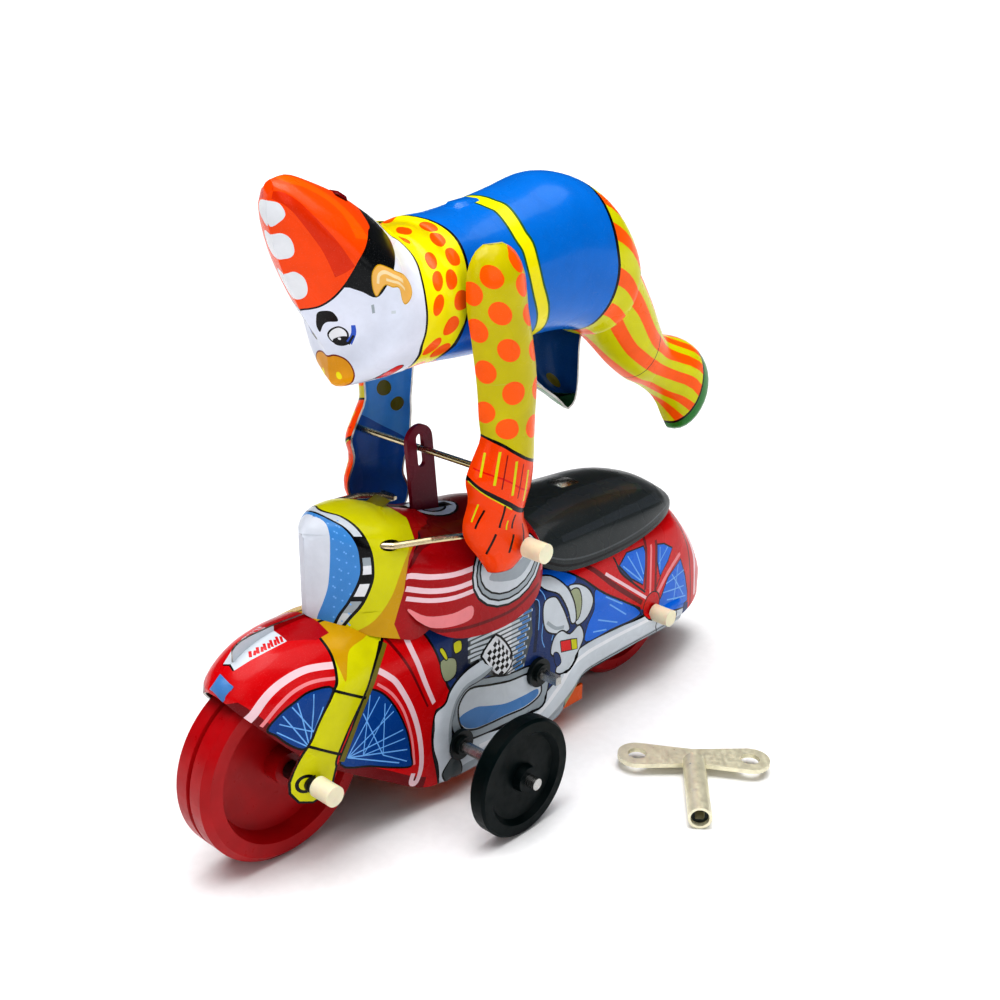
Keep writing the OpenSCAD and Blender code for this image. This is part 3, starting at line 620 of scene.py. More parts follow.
def front_drawing():
    s = line("dark_red", hem(low_sheet, 91, 79, 1.2), 2.6)
    s += line("dark_red", hem(low_sheet, 70.5, 44, 1.4), 3.0)
    # wheel sectors with their spokes
    s += area("sector_blue", [(85.8, 39.6), (83.1, 43), (79.7, 45), (75.9, 46.4), (70.5, 45.6), (73, 40),
                              (76.8, 34.2), (78.6, 32.8), (81.4, 34.6), (84.2, 37.8)], 0.5)
    s += flecks("spoke", (77.2, 32.8), [(84, 38.6), (82.6, 42.4), (79.2, 44.6), (75.2, 45.6)], 0.3)
    s += flecks("spoke", (76, 36.5), [(83.4, 40.5), (80.5, 44), (73.4, 42)], 0.3)
    s += area("sector_blue", [(62.4, 41.6), (60.4, 41.5), (57.4, 39.6), (54.5, 36.3), (51.5, 31),
                              (49.1, 24.5), (48.2, 18.5), (48.3, 15.4), (54, 17.6), (61.1, 21.2),
                              (69.6, 25.4), (66, 33.5)], 0.5)
    s += flecks("spoke", (67.6, 26.4), [(57.6, 38.4), (53.4, 32.8), (50.6, 26.6), (49.4, 20.6), (52, 18)],
                0.35)
    s += flecks("spoke", (63, 25), [(60.4, 40), (54, 35), (50, 24)], 0.3)
    s += flecks("spoke", (57, 22.4), [(62.6, 36), (56, 36), (49.6, 17.4)], 0.3)
    # fender stripes, front and back of the fork
    s += line("stripe", [(89.6, 41.6), (88.6, 43), (86.1, 46.4), (82.9, 48.9), (79, 50.6), (75.3, 51.3),
                         (71.8, 51.1), (68.2, 50.4)], 1.7)
    s += line("pink", [(86.9, 40.6), (84, 44.2), (80.3, 46.9), (76.6, 48.1), (72.9, 48.2), (69, 47.5)], 0.8)
    s += line("stripe", [(57.4, 45.2), (54.6, 42.6), (51.9, 39.3), (47.9, 31.3), (45.5, 22.9), (44.9, 14.6),
                         (46.6, 10.2), (48.4, 10.8), (47.6, 13)], 1.5)
    s += line("pink", [(58.2, 42), (53.8, 37.6), (50.2, 31.3), (47.9, 23.1), (47.2, 15.3)], 0.7)
    s += line("stripe", [(45.9, 57), (46.8, 52.6), (46.6, 46.4), (43.9, 37.9), (40.6, 29.8)], (1.9, 1.2))
    s += line("dark_red", [(52.6, 52.2), (50.3, 46.8), (46.3, 38.1), (42.6, 29.6)], (0.9, 0.5))
    # fork leg
    left = [(67.8, 62), (67.9, 57.3), (67.9, 52.6), (69, 47), (70.6, 44.6), (74.4, 39), (76.9, 34.2),
            (79.2, 31.2), (80.9, 28.2), (82.1, 25)]
    right = [(70.8, 25.6), (70.6, 27.8), (67, 34), (63.4, 39), (60.2, 43.8), (57, 48), (54, 51),
             (51.4, 54.5), (49, 62)]
    leg = curve(left) + [(82.1, 22.2), (80.3, 19.3), (77, 18.2), (73.7, 19.3), (71.8, 21.8)] + curve(right)
    s += [("yellow", leg)]
    s += area("ochre", [(68.4, 66), (60, 66), (52, 64), (52.4, 57.4), (57, 53.8), (63, 52.4), (65.4, 49.4),
                        (67.2, 46), (67.6, 52), (68, 58)])
    s += line("olive", [(53.2, 50.8), (57.5, 46), (61.2, 40.2), (64.6, 34.6), (69.2, 26)], 1.5)
    s += line("black", [(54.2, 51.6), (58.2, 46.6), (61.9, 40.6), (65.6, 34.2), (69.8, 26.8)], 0.4)
    s += [("black", stroke(leg + [leg[0]], 0.7))]
    s += line("black", [(70.6, 45.1), (61.6, 39.7)], 0.7, False)
    s += line("black", [(77.8, 33.4), (69.2, 28)], 0.7, False)
    s += dot("black", 78.6, 24, 2.4) + dot("yellow", 78.6, 24, 1.6)
    # pale number plate up to the seam, with plain bars, and the dark strip behind it
    s += panel("tank_red", [(75, 59.4), (71.3, 58.4), (69, 57.4), (65, 58), (65, 70), (75, 70)])
    s += panel("silver", [(87.6, 55.4), (84, 57), (80, 58.2), (75, 59.4), (74.8, 70), (86.2, 70),
                          (86.6, 60)])
    s += line("black", [(87.6, 55.4), (86.6, 60), (86.2, 66)], 0.3, False)
    for k in range(PLATE_BARS):
        t = (k + 0.5) / PLATE_BARS
        s += line("red", [(83.9 - 8.3 * t, 57.8 + 1.8 * t), (83 - 8.2 * t, 59.8 + 2.4 * t - 0.6 * (k % 2))],
                  0.55, False)
    return s


def engine_drawing():
    bay = [(42.4, 52), (39.6, 43), (37.6, 37.2), (36, 31.6), (37.7, 28.9), (40, 27.1), (41.2, 22.5),
           (41.2, 16.8), (40.1, 11), (39, 4)]
    s = [("navy", curve(bay) + [(-90, 4), (-90, 62), (43, 62)])]
    s += line("black", bay, 0.6)
    s += area("deep_navy", [(34, 45), (28, 45), (27, 36), (32, 33), (34.5, 36)])
    s += area("sage", [(38.4, 40.3), (33.6, 39.4), (33.4, 35), (37, 34.4)], 0.3)
    s += area("yellow", [(38.6, 43.4), (37.6, 44), (36, 40.6), (36.8, 40.2)], 0.3)
    s += area("yellow", [(34, 43.8), (31.6, 43.8), (31.4, 41), (33.6, 40.8)], 0.3)
    # finned cylinder
    s += panel("dark_grey", [(29, 44), (6, 44), (5.4, 36), (8.6, 27), (17, 27.4), (23, 31), (29, 36.4)])
    for k in range(CYLINDER_FINS):
        z = 28.0 + 1.24 * k
        left = min(29.2, 15.4 + 2.0 * k) - (0.9 if k % 2 else 0)
        right = 8.4 - 0.24 * k + (1.1 if k % 2 else 0)
        s += line("silver", [(left, z), (right, z)], 0.78, False)
        s += line("white", [(min(left, 21) - 0.4, z), (13.5, z)], 0.8, False)
        s += line("case_blue", [(right + 3.6, z), (right + 0.4, z)], 0.72, False)
    # chequered barrel
    along, across = np.array([4.4, 5.6]) / 7.12, np.array([5.6, -4.4]) / 7.12
    foot = np.array([16.4, 31.6])
    s += area("white", [foot - 3.2 * across - 1.2 * along, foot + 3.2 * across - 1.2 * along,
                        foot + 3.4 * across + 9 * along, foot - 3.4 * across + 9 * along], 0.6)
    for i in range(8):
        for j in range(5):
            if (i + j) % 2 == 0:
                c = foot + (i * CHECK - 0.8) * along + (j - 2) * CHECK * across
                s += panel("black", [c - 0.62 * along - 0.62 * across, c - 0.62 * along + 0.62 * across,
                                     c + 0.62 * along + 0.62 * across, c + 0.62 * along - 0.62 * across])
    # exhaust along the bottom and up to the tail
    upper = [(34, 14.6), (22, 13.6), (10, 12.4), (5.7, 12.9), (-1.5, 16.4), (-6.4, 19), (-12.4, 23.4),
             (-18.8, 24.6), (-27.7, 24.4), (-42, 23.6), (-56, 22.8), (-64, 21.6)]
    lower = [(-67.4, 19), (-64, 15.4), (-50.4, 15.6), (-33, 15.6), (-21.5, 15.8), (-15.9, 14.8),
             (-13.2, 11.8), (-9.3, 9.6), (-6.9, 4), (34, 4)]
    s += [("silver", curve(upper) + curve(lower))]
    s += area("grey", [(34, 8.8), (16, 8.4), (2, 8.2), (-5, 10.6), (-10.6, 13.6), (-14.6, 16.8),
                       (-22, 17.8), (-42, 17.8), (-62, 17), (-63, 15.8), (-42, 15.8), (-22, 16), (-16, 15),
                       (-13, 12), (-8, 8), (-6, 4), (34, 4)])
    s += line("white", [(26, 11.6), (8, 11), (1, 12.6), (-6, 16.6), (-12.4, 21.4), (-24, 22.6), (-44, 22),
                        (-60, 20.8)], (1.2, 0.8))
    s += line("dark_grey", [(-12, 13.4), (-15.4, 16.4), (-22, 17.2), (-40, 17.2)], 0.5)
    s += line("dark_grey", [(-40, 17.2), (-60, 16.8)], 0.4)
    s += [("black", stroke(curve(upper), 0.5)), ("black", stroke(curve(lower[:-2]), 0.5))]
    s += line("black", [(-47, 23.4), (-49.4, 21), (-48.6, 18.6), (-50, 16)], 0.4)
    s += line("black", [(-57.6, 22.4), (-60, 19.6), (-59.4, 16)], 0.4)
    s += area("sage", [(-9.2, 11.6), (-13, 13.4), (-15.6, 12.6), (-16, 8), (-12, 5), (-8.6, 6.4)], 0.4)
    # crankcase: grey above, blue below, in a double outline
    case = [(32, 26.2), (28.4, 28.9), (21.3, 27.2), (13.8, 25.4), (6.6, 24.6), (2.8, 22), (1.2, 18),
            (2.5, 15.9), (7.7, 14.9), (15.5, 15.6), (21.2, 15.9), (26.6, 16.5), (30.8, 18.4), (32.4, 22.4)]
    s += area("grey", [(34.4, 27), (30, 31.2), (21, 29.4), (13, 27.4), (5.6, 26.6), (-0.6, 22.6),
                       (-1.4, 17), (1.6, 13.2), (8, 12.8), (15.5, 13.2), (22, 13.6), (28, 14.4), (33, 16.6),
                       (35, 22)], 0.5)
    s += area("silver", case, 0.6)
    s += area("case_blue", [(32, 22.2), (26.5, 22.8), (22, 21.4), (15.6, 19.4), (9, 18.8), (3, 18.6),
                            (3, 16.4), (8, 15.4), (15.5, 16), (21.2, 16.3), (26.6, 16.9), (30.4, 18.8)])
    s += [("black", stroke(curve(case, True), 0.5))]
    # header pipe
    head_l = [(25.7, 36), (31.5, 34.9), (36, 31.8), (37.8, 29), (40.2, 27), (41.2, 22.5), (41.2, 16.8),
              (40.1, 12), (39.2, 4)]
    head_r = [(33, 4), (33.4, 10.7), (35, 15.4), (35.2, 21.3), (33.8, 26.4), (30.9, 29.8), (25.6, 30.5),
              (20.8, 32.1)]
    s += [("silver", curve(head_l) + curve(head_r))]
    s += area("grey", [(34.6, 4), (35, 10.7), (36.6, 15.4), (36.8, 21.6), (35, 27.4), (31.6, 31.2),
                       (26, 32.2), (22.4, 33), (20.9, 32.1), (25.6, 30.5), (30.9, 29.8), (33.8, 26.4),
                       (35.2, 21.3), (35, 15.4), (33.4, 10.7), (33, 4)])
    s += [("black", stroke(curve(head_l), 0.55)), ("black", stroke(curve(head_r), 0.55))]
    s += area("dark_grey", [(38.8, 9), (36, 12.6), (33.2, 11), (32.4, 6), (36, 5)], 0.4)
    # air cleaner, horn and pipes behind the cylinder
    s += line("deep_navy", [(5, 50), (3.6, 40), (4.4, 30)], 1.4)
    s += line("spoke", [(2.4, 49), (0.4, 44), (1.6, 34), (0.4, 30)], 0.3)
    s += line("spoke", [(6, 46), (3, 44.6), (3, 36)], 0.3)
    s += line("spoke", [(0.6, 37), (-3, 34), (-2.4, 31)], 0.3)
    s += area("sky", [(-3, 52.6), (-12, 47), (-9, 45), (-4, 49), (0, 52)])
    s += area("silver", [(1.4, 41.4), (0, 44), (-3.6, 43.4), (-6.4, 39.6), (-8.4, 35.6), (-9.6, 31.4),
                         (-3.7, 32.4), (0.4, 35.4)], 0.5)
    s += line("grey", [(-7.4, 33.2), (-4, 34), (-0.4, 37)], 1.0)
    s += area("silver", [(-8.8, 44.8), (-13, 44), (-17.6, 40.8), (-19.6, 36.6), (-17.2, 32.6), (-13, 31.6),
                         (-11.4, 35), (-11.6, 39.6)], 0.5)
    s += area("sage", [(-9.6, 42.8), (-13, 42.6), (-14.6, 38.4), (-13.8, 34), (-11.4, 33.4), (-10, 37.4)],
              0.35)
    s += area("silver", [(1.4, 51.4), (-3.6, 50.4), (-8.4, 44.6), (-11.6, 38.6), (-12.4, 33.4),
                         (-10.4, 33.2), (-8.6, 38), (-4.8, 43.8), (0.4, 47.6)], 0.5)
    s += area("silver", [(-3.4, 31.4), (-6.6, 32.4), (-10, 30.2), (-14, 31.4), (-16, 27), (-12.8, 22.4),
                         (-8.4, 19.2), (-4.4, 20.6), (-5.6, 24.4), (-2.2, 27)], 0.5)
    s += area("navy", [(-3.4, 26.6), (-5.4, 26), (-6.6, 22.8), (-4.6, 22.4)], 0.3)
    s += panel("bright_red", [(-6, 29.4), (-10.4, 28.4), (-11, 24.9), (-6.6, 25.9)], 0.35)
    s += panel("yellow", [(-10.4, 28.4), (-13, 27.6), (-13.4, 24.4), (-11, 24.9)], 0.35)
    return s


def rear_drawing():
    s = panel("red", [(-24, 66), (-24, 49), (-29, 45), (-44, 30), (-46, 23), (-60, 20.6), (-70, 18),
                      (-70, 12), (-92, 12), (-92, 66)])
    s += area("sky", [(-20.6, 40), (-30, 34.4), (-41, 26.4), (-40, 24.2), (-27.7, 24.8), (-17, 25),
                      (-17.4, 30), (-20, 34)], 0.4)
    for shape in ([(-30.5, 43.5), (-34, 46.8), (-42, 46.2), (-43.4, 42.4), (-43.2, 38), (-42.6, 33.6),
                   (-36.5, 37.6)], [(-48.8, 44.4), (-52.5, 43.4), (-57.2, 40.4), (-55.2, 37), (-51.3, 33.4),
                                    (-49.3, 38.6)], [(-46, 23), (-52.4, 26), (-55.8, 31.4), (-62.6, 35),
                                                     (-66.4, 28.3), (-68.7, 22.4), (-69.3, 18.6),
                                                     (-64.4, 18.6)]):
        s += panel("sky", shape, 0.5)
    for p, q in [((-27, 33), (-35, 27)), ((-22, 30), (-31, 26)), ((-20, 27), (-26, 25.6)),
                 ((-25, 36), (-33, 31)), ((-42.4, 35), (-34.4, 45.4)), ((-42.6, 37), (-38.5, 45.4)),
                 ((-41.4, 35.4), (-32.4, 42.8)), ((-50.2, 37.6), (-54.6, 41.6)), ((-51, 35.6), (-50.4, 43)),
                 ((-53.6, 27.2), (-66, 25)), ((-55, 29.6), (-65.4, 30.4)), ((-56, 24), (-67.6, 21)),
                 ((-61.4, 33.6), (-60, 22.4)), ((-58, 31.6), (-66, 22))]:
        s += line("spoke", [p, q], 0.4, False)
    # struts to the rear axle
    s += line("pink", [(-62, 37), (-55.6, 33), (-49.8, 27.5)], 1.5)
    s += line("black", [(-52.4, 34.4), (-49, 29.6)], 0.4, False)
    for path in ([(-42.8, 49), (-43.6, 39.5), (-43.8, 31.6)], [(-48.3, 46), (-48.9, 36.1), (-49.3, 27.4)]):
        s += line("dark_red", path, 1.1)
    s += line("pink", [(-45.7, 45.4), (-46.1, 38.7), (-46.6, 29)], 0.9)
    s += panel("red", [(-7, 52.6), (-27, 50), (-28, 47.4), (-31.2, 41.5), (-37, 36.4), (-43.8, 30.9),
                       (-47, 29), (-46, 24), (-41.7, 26.4), (-33, 32), (-22.3, 38.8), (-9.6, 49.4)])
    for path in ([(-9.6, 49.4), (-22.3, 38.8), (-33, 32), (-42, 26.3)], [(-28, 47.4), (-31.2, 41.5),
            (-37, 36.4), (-44, 30.8)]):
        s += line("black", path, 0.6)
    s += line("dark_red", [(-15, 50.4), (-26.7, 39.8), (-42.6, 28)], 1.5)
    s += line("stripe", [(-24.4, 43.2), (-31.3, 38.3), (-44.6, 28.8)], 0.9)
    s += dot("red", -47.6, 25.4, 4.2, edge=0.4)
    # tail of the fender
    tail = [(-62, 50), (-66, 40), (-69.6, 30), (-71.6, 20), (-72, 12)]
    s += [("red", curve(tail) + [(-92, 12), (-92, 60), (-62, 60)])] + line("black", tail, 0.5)
    s += line("stripe", [(-65, 49), (-69.4, 40), (-73.4, 30), (-75.6, 18)], 1.5)
    s += line("pink", [(-68, 48), (-72, 40), (-76, 30), (-78.2, 18)], 0.7)
    return s


def lamp_drawing():
    """Lamp: yellow shroud, banded ring, blue glass and the pale lens in front."""
    ring_out = curve([(59.5, 96), (59.5, 86), (57.8, 83.4), (56.4, 79.7), (55.6, 74), (55.2, 69.4),
                      (55.5, 65.6), (57.4, 60.4), (59.6, 56.6), (62, 52)])
    ring_in = curve([(61, 96), (60.8, 85), (60.2, 82), (58.8, 79.6), (57.8, 75.6), (57.4, 71.4), (57.4, 68),
                     (58.2, 64.6), (59.7, 60.6), (61.3, 57), (63, 51)])
    lens = curve([(62.6, 96), (62.4, 86), (61.5, 81.5), (62, 77), (62.2, 71), (62.6, 65), (63.4, 60.8),
                  (64.4, 56.6), (65.2, 50)])
    front = [(70, 48), (70, 98)]
    s = [("silver", ring_out + front)]
    for ink, lo, hi in (("black", 71.8, 77.4), ("grey", 69.8, 71.8), ("white", 67.6, 69.8),
                        ("black", 65.3, 67.6), ("white", 62.2, 65.3), ("black", 61, 62.2),
                        ("grey", 58, 61)):
        s += panel(ink, [(70, hi), (50, hi), (50, lo), (70, lo)])
    s += [("yellow", ring_out + [(30, 46), (30, 98)])]
    s += area("ochre", [(44, 74), (46.9, 70.6), (49.2, 66), (51.4, 61), (55, 56), (60, 52), (60, 48),
                        (48, 46), (44, 62)])
    s += panel("tank_red", [(41, 96), (40, 80), (43, 74), (46.4, 70), (48, 62), (50.8, 54), (48, 46),
                            (28, 46), (28, 96)])
    s += [("lens_blue", ring_in + front)]
    for k in range(SPECKLES):
        v = 55 + 29 * ((k * 0.618) % 1)
        s += dot("spoke", 58.2 + 3.6 * ((k * 0.414) % 1) + 0.006 * (v - 70) ** 2, v, 0.18, 0.26, n=5)
    s += [("lens", lens + front), ("black", stroke(ring_out, 0.6)), ("black", stroke(ring_in, 0.5))]
    return s


def tank_drawing():
    s = area("dark_red", [(46, 86), (30, 86), (-2, 84), (-2, 76), (8, 72), (30, 74), (42, 72), (47, 68)])
    s += line("stripe", [(47.6, 65.8), (42.1, 64.2), (35.2, 63.3), (27, 63.4)], 1.6)
    s += line("stripe", [(47.6, 62.2), (42.1, 60.5), (35.3, 59.4), (27, 59.4)], 1.4)
    s += line("stripe", [(47.6, 59.7), (42.2, 58.1), (35.3, 57), (27, 57)], 1.2)
    s += area("pink", [(47.2, 57), (43, 54.2), (36, 53), (30, 53.2), (30, 49.8), (36, 49.6), (42, 51),
                       (46, 53.8)])
    s += line("dark_red", [(47.4, 55), (42, 50.4), (35, 48.4), (26, 47.2), (14, 47), (4, 50)], 0.9)
    s += dot("silver", 16.2, 59.6, 13.6, 10.6, 4, edge=0.6)
    s += dot("grey", 16.2, 59.8, 12.2, 9.2, 4, edge=0.5)
    s += dot("silver", 16.4, 60.2, 10.8, 7.8, 4, edge=0.5)
    s += area("grey", [(24, 58), (14, 55), (8, 58), (7, 63), (12, 60), (20, 61)])
    s += line("pink", [(-0.6, 82), (0.6, 72), (0.9, 62), (2.2, 53)], 1.7)
    s += dot("silver", 24.4, 84.6, 7.4, 4.9, edge=0.6)
    s += dot("black", 25.2, 84.6, 4.6, 2.9)
    s += dot("grey", 25.2, 84.6, 3.9, 2.3)
    top = [(44.6, 92), (43.2, 84), (40.2, 81.4), (40, 78.4), (41, 75.3), (43, 73.3), (46.4, 70.3),
           (47.8, 66.4), (48.4, 62)]
    s += [("yellow", curve(top) + [(52, 62), (52, 92)]), ("black", stroke(curve(top), 0.7))]
    s += [("olive", stroke([(49, 79), (44.6, 80)], 2.4))]
    return s


def seat_drawing():
    # painted highlight: two soft lighter sheen bands along the glossy black seat
    s = line("seat_shine", [(-2, 69), (-20, 72), (-40, 70), (-56, 64)], (4, 6.5))
    s += line("seat_shine", [(-6, 60.4), (-30, 61), (-52, 60)], (2.4, 4))
    s += line("seat_line", [(2, 57), (-6, 53.4), (-16, 51.6), (-30, 51.4), (-44, 52.6), (-56, 55.4)], 0.5)
    s += line("black", [(3, 56), (-6, 51.6), (-16, 50), (-30, 49.9), (-44, 50.8), (-56, 53.6)], 0.7)
    return s


# ---------------------------------------------------------------- what is drawn on the clown
torso_sheet, back_sheet, down_sheet, arm_sheet = [LimbSheet(t) for t in (TORSO, LEG_BACK, LEG_DOWN, ARM)]


def head_drawing():
    """Hat, hair, ear and face, from the tip of the hat to the collar."""
    s = [("face", curve([(0, -30), (22, -30), (46, -30), (46, -9), (42.4, 4), (41.4, 12), (40.6, 18),
                         (37, 30), (0, 30)]))]
    s += area("hair", [(17, 30), (19, 9), (17.4, -6.6), (20.1, -5.6), (22.5, -4.6), (25.6, -3.6),
                       (26.6, -0.2), (27.9, 3.6), (30, 8), (31.8, 12.2), (32.8, 16.8), (30, 24), (24, 30)])
    s += area("tan", [(25.4, -3.4), (23.6, -2.4), (22.4, -0.2), (23.4, 2.2), (26.2, 3.5), (29.4, 4.6),
                      (32.4, 6.4), (34.6, 6.8), (35.7, 5.6), (35.2, 3.6), (33.4, 1.2), (31.8, 0.8),
                      (30.2, 1.8), (28.2, 0.6), (26.2, -0.2), (25.6, -1.8)], 0.2, "ochre")
    s += line("cream", [(24.4, -1.2), (24, 0.4), (25.4, 2), (28.4, 3), (31.6, 4.4)], 0.7)
    s += line("cream", [(26, 0.8), (28.1, 1.7), (30.4, 2.8), (32.4, 3.4)], 0.5)
    # brow, eye and lashes
    s += area("black", [(22, -16.3), (20.8, -14.5), (20.9, -13), (22, -11.7), (24.2, -12.4), (23.4, -14.3),
                        (23.6, -15.9), (24.8, -18.6), (23.4, -18)])
    s += area("white", [(26.1, -17.2), (25.3, -15.4), (25.4, -13.5), (26.7, -12.9), (28.1, -13.3),
                        (29.2, -14.6), (29.2, -16.6), (27.6, -17.7)], 0.4)
    s += area("black", [(27.5, -17), (27.6, -14.9), (28.4, -13.6), (29.6, -13.4), (30, -14.8),
                        (29.6, -16.6), (28.6, -17.6)])
    s += dot("white", 28, -15.5, 0.35)
    s += line("eye_blue", [(26.7, -10.9), (28.6, -12.3), (29.8, -14.3)], (0.8, 1.3))
    s += line("black", [(28.8, -12.4), (30, -14.6)], 0.5, False)
    s += line("grey", [(25.9, -5.2), (27.4, -6.3)], 0.6, False)
    s += line("silver", [(30.5, -3.4), (31.4, -2.4)], 0.5, False)
    # nose and mouth
    s += area("nose", [(30.7, -30), (30.6, -22.4), (30.9, -19.2), (32.4, -16.7), (34.6, -16), (36.6, -17.2),
                       (38.4, -20.8), (38.6, -26), (37, -30)], 0.3, "dark_red")
    s += dot("collar", 34.7, -20.4, 0.9)
    s += area("bright_red", [(41.6, -17.6), (41.3, -15.6), (41.2, -13.6), (42, -11.6), (43.5, -11.9),
                             (43.8, -14.2), (43.6, -17.2)], 0.2)
    s += line("black", [(40.2, -20.6), (41, -17.4), (41, -14)], 0.35)
    # hat
    hat = curve([(28, 30), (25.2, 13.4), (22.6, 8.8), (20.5, 4.4), (18.9, 0.1), (18.7, -3), (19.2, -6.5),
                 (19.7, -9.6), (19.8, -12.6), (19.4, -15.2), (18.9, -18.9), (18.6, -30)])
    s += [("orange", hat + [(-1, -30), (-1, 30)])]
    s += line("dot_orange", [(1.6, 4), (6.5, 7.7), (11.7, 10.2), (16.4, 9.4), (19.6, 5)], (2, 5))
    s += line("red_orange", [(0.8, -1.4), (3, -0.6), (7.6, -1), (12.7, -2), (17.6, -3.8)], (1.6, 4.6))
    s += area("white", [(0.8, -5.5), (1.2, -3), (2, -2.1), (2.9, -2.5), (3.5, -3.4), (3.9, -4.8), (3.9, -8),
                        (1, -9)])
    s += area("white", [(5.2, -12), (5.4, -7.9), (5.9, -6.4), (7.2, -6.1), (8.8, -7.2), (9.5, -8.7),
                        (9.3, -11), (8.6, -14.4), (6, -15)])
    s += area("white", [(11.6, -16), (11.6, -13), (11.9, -10.9), (13.6, -10.3), (15.6, -11.5),
                        (16.8, -13.4), (16.9, -16), (16, -19), (13, -19)])
    s += [("black", stroke(hat, 0.4))]
    return s


def torso_drawing():
    s = head_drawing()
    inner = [(30, 30), (33.6, 20), (37.6, 19.4), (39.6, 16.4), (40.1, 13), (39.9, 8.9), (40.4, 5),
             (41.5, 1.3), (42.8, -2.6), (43.7, -5.9), (45.1, -9.6), (46, -16), (46, -30)]
    outer = [(51.6, -30), (51.8, -16), (52.8, -11.4), (53.4, -6.5), (54.5, -1), (55.4, 4.8), (56.6, 10.3),
             (57.1, 15.5), (56.2, 21), (54, 30)]
    s += [("collar", curve(inner) + curve(outer))]
    for p, q in ((47.6, 24.6), (53, 20.6), (42, 21.6), (45.6, 13), (51.6, 16.2), (52.8, 10.8), (50.2, 6.2),
                 (45.1, 2.8), (52.3, 0.8), (50.3, -4.4), (47.3, -8.2), (50.4, -11.6), (47.8, -16.6),
                 (51, -19.4), (45.4, 8)):
        s += dot("dot_orange", p, q, 1.9, 2.3, 10)
    s += [("black", stroke(curve(inner), 0.6)), ("black", stroke(curve(outer), 0.8))]
    # strap
    strap = [(75, 32), (74.9, 23.3), (75.7, 19.9), (75.6, 15.3), (75.7, 11.2), (76.6, 8.1), (77, 3.3),
             (78.6, -2.4), (83, -10), (86, -18), (87, -32)]
    s += [("green", stroke(curve(strap), 4.6)), ("collar", stroke(curve(strap), 3.4))]
    # edge of the jacket over the hips, and the seat of the trousers
    hip = [(105, 32), (104.4, 22), (105, 12), (106.4, 4.5), (107.8, 0.3), (108.8, -4.2), (109.6, -9.4),
           (110.2, -14.1), (111.2, -19.3), (113, -32)]
    s += [("yellow", curve(hip) + [(130, -32), (130, 32)])]
    for start, share in ((113, -0.83), (110.4, -0.40), (108.4, -0.08), (105.8, 0.28), (104.8, 0.6),
                         (104.8, 0.91)):
        p = np.linspace(start, 128, 9)
        arc = torso_sheet.edges(p)[1]
        s += [("dot_orange",
               list(zip(p, arc * (share - 0.075))) + list(zip(p, arc * (share + 0.075)))[::-1])]
    s += line("black", hip, 1.1)
    return s


def stripes(sheet, lo, hi, n=7):
    """Lengthwise stripes on a trouser leg."""
    s = []
    p = np.linspace(lo, hi, 14)
    arc = sheet.edges(p)[1]
    for k in range(n):
        a, b = -1 + 2 * k / n, -1 + 2 * (k + 1) / n
        if k % 2:
            s.append(("dot_orange", list(zip(p, arc * a)) + list(zip(p, arc * b))[::-1]))
    return s


def back_leg_drawing():
    s = []
    for way, width in (([(-1, 1), (7, 0), (14, 0.2), (25, -0.2), (34, 1.8), (40, 2.6), (47, 3.4),
                         (62, 4.6)], (5.6, 2.6)), ([(-1, -8), (5, -8.6), (12, -9.3), (20, -8.8), (28, -6.5),
                                                    (34, -4.6), (40, -3.2), (47, -2.4), (62, -1)],
                                                   (4.6, 3)), ([(-1, -23), (8, -21.4), (16, -19.6),
            (25, -16.4), (35, -12.2), (40, -10), (46, -9.6), (52, -8.6), (62, -5.6)], (4.6, 2.4)),
                       ([(-1, 9.5), (12, 9), (25, 8), (34, 7.5), (44, 8.6), (62, 9.6)], (4.6, 2.8)),
                       ([(-1, 18.5), (12, 17), (25, 15), (34, 12.6), (42, 12.6), (50, 14), (62, 13.6)],
                        (4.2, 2.8)), ([(43, -16.6), (50, -14.4), (55, -13.4), (62, -11.2)], (1.6, 3.4))):
        s += line("dot_orange", way, width)
    sole = [(61.5, -20), (61.4, -13.6), (60.6, -8), (59.4, -2.5), (58, 3.6), (57.4, 10), (57, 20)]
    s += [("sole", curve(sole) + [(72, 20), (72, -20)]), ("black", stroke(curve(sole), 0.9))]
    s += line("black", [(31, 18), (30.4, 10), (30.8, 0), (32, -10), (33, -18)], 0.35)
    return s


def down_leg_drawing():
    s = stripes(down_sheet, -1, 31, 7)
    s += panel("sole", [(27, -20), (40, -20), (40, 20), (27, 20)], 0.6)
    return s


def down_leg_inside():
    return panel("sole_dark", [(29.6, -20), (40, -20), (40, 20),
                               (28.8, 20)]) + dot("olive", 26.4, 6, 2, 1.8)


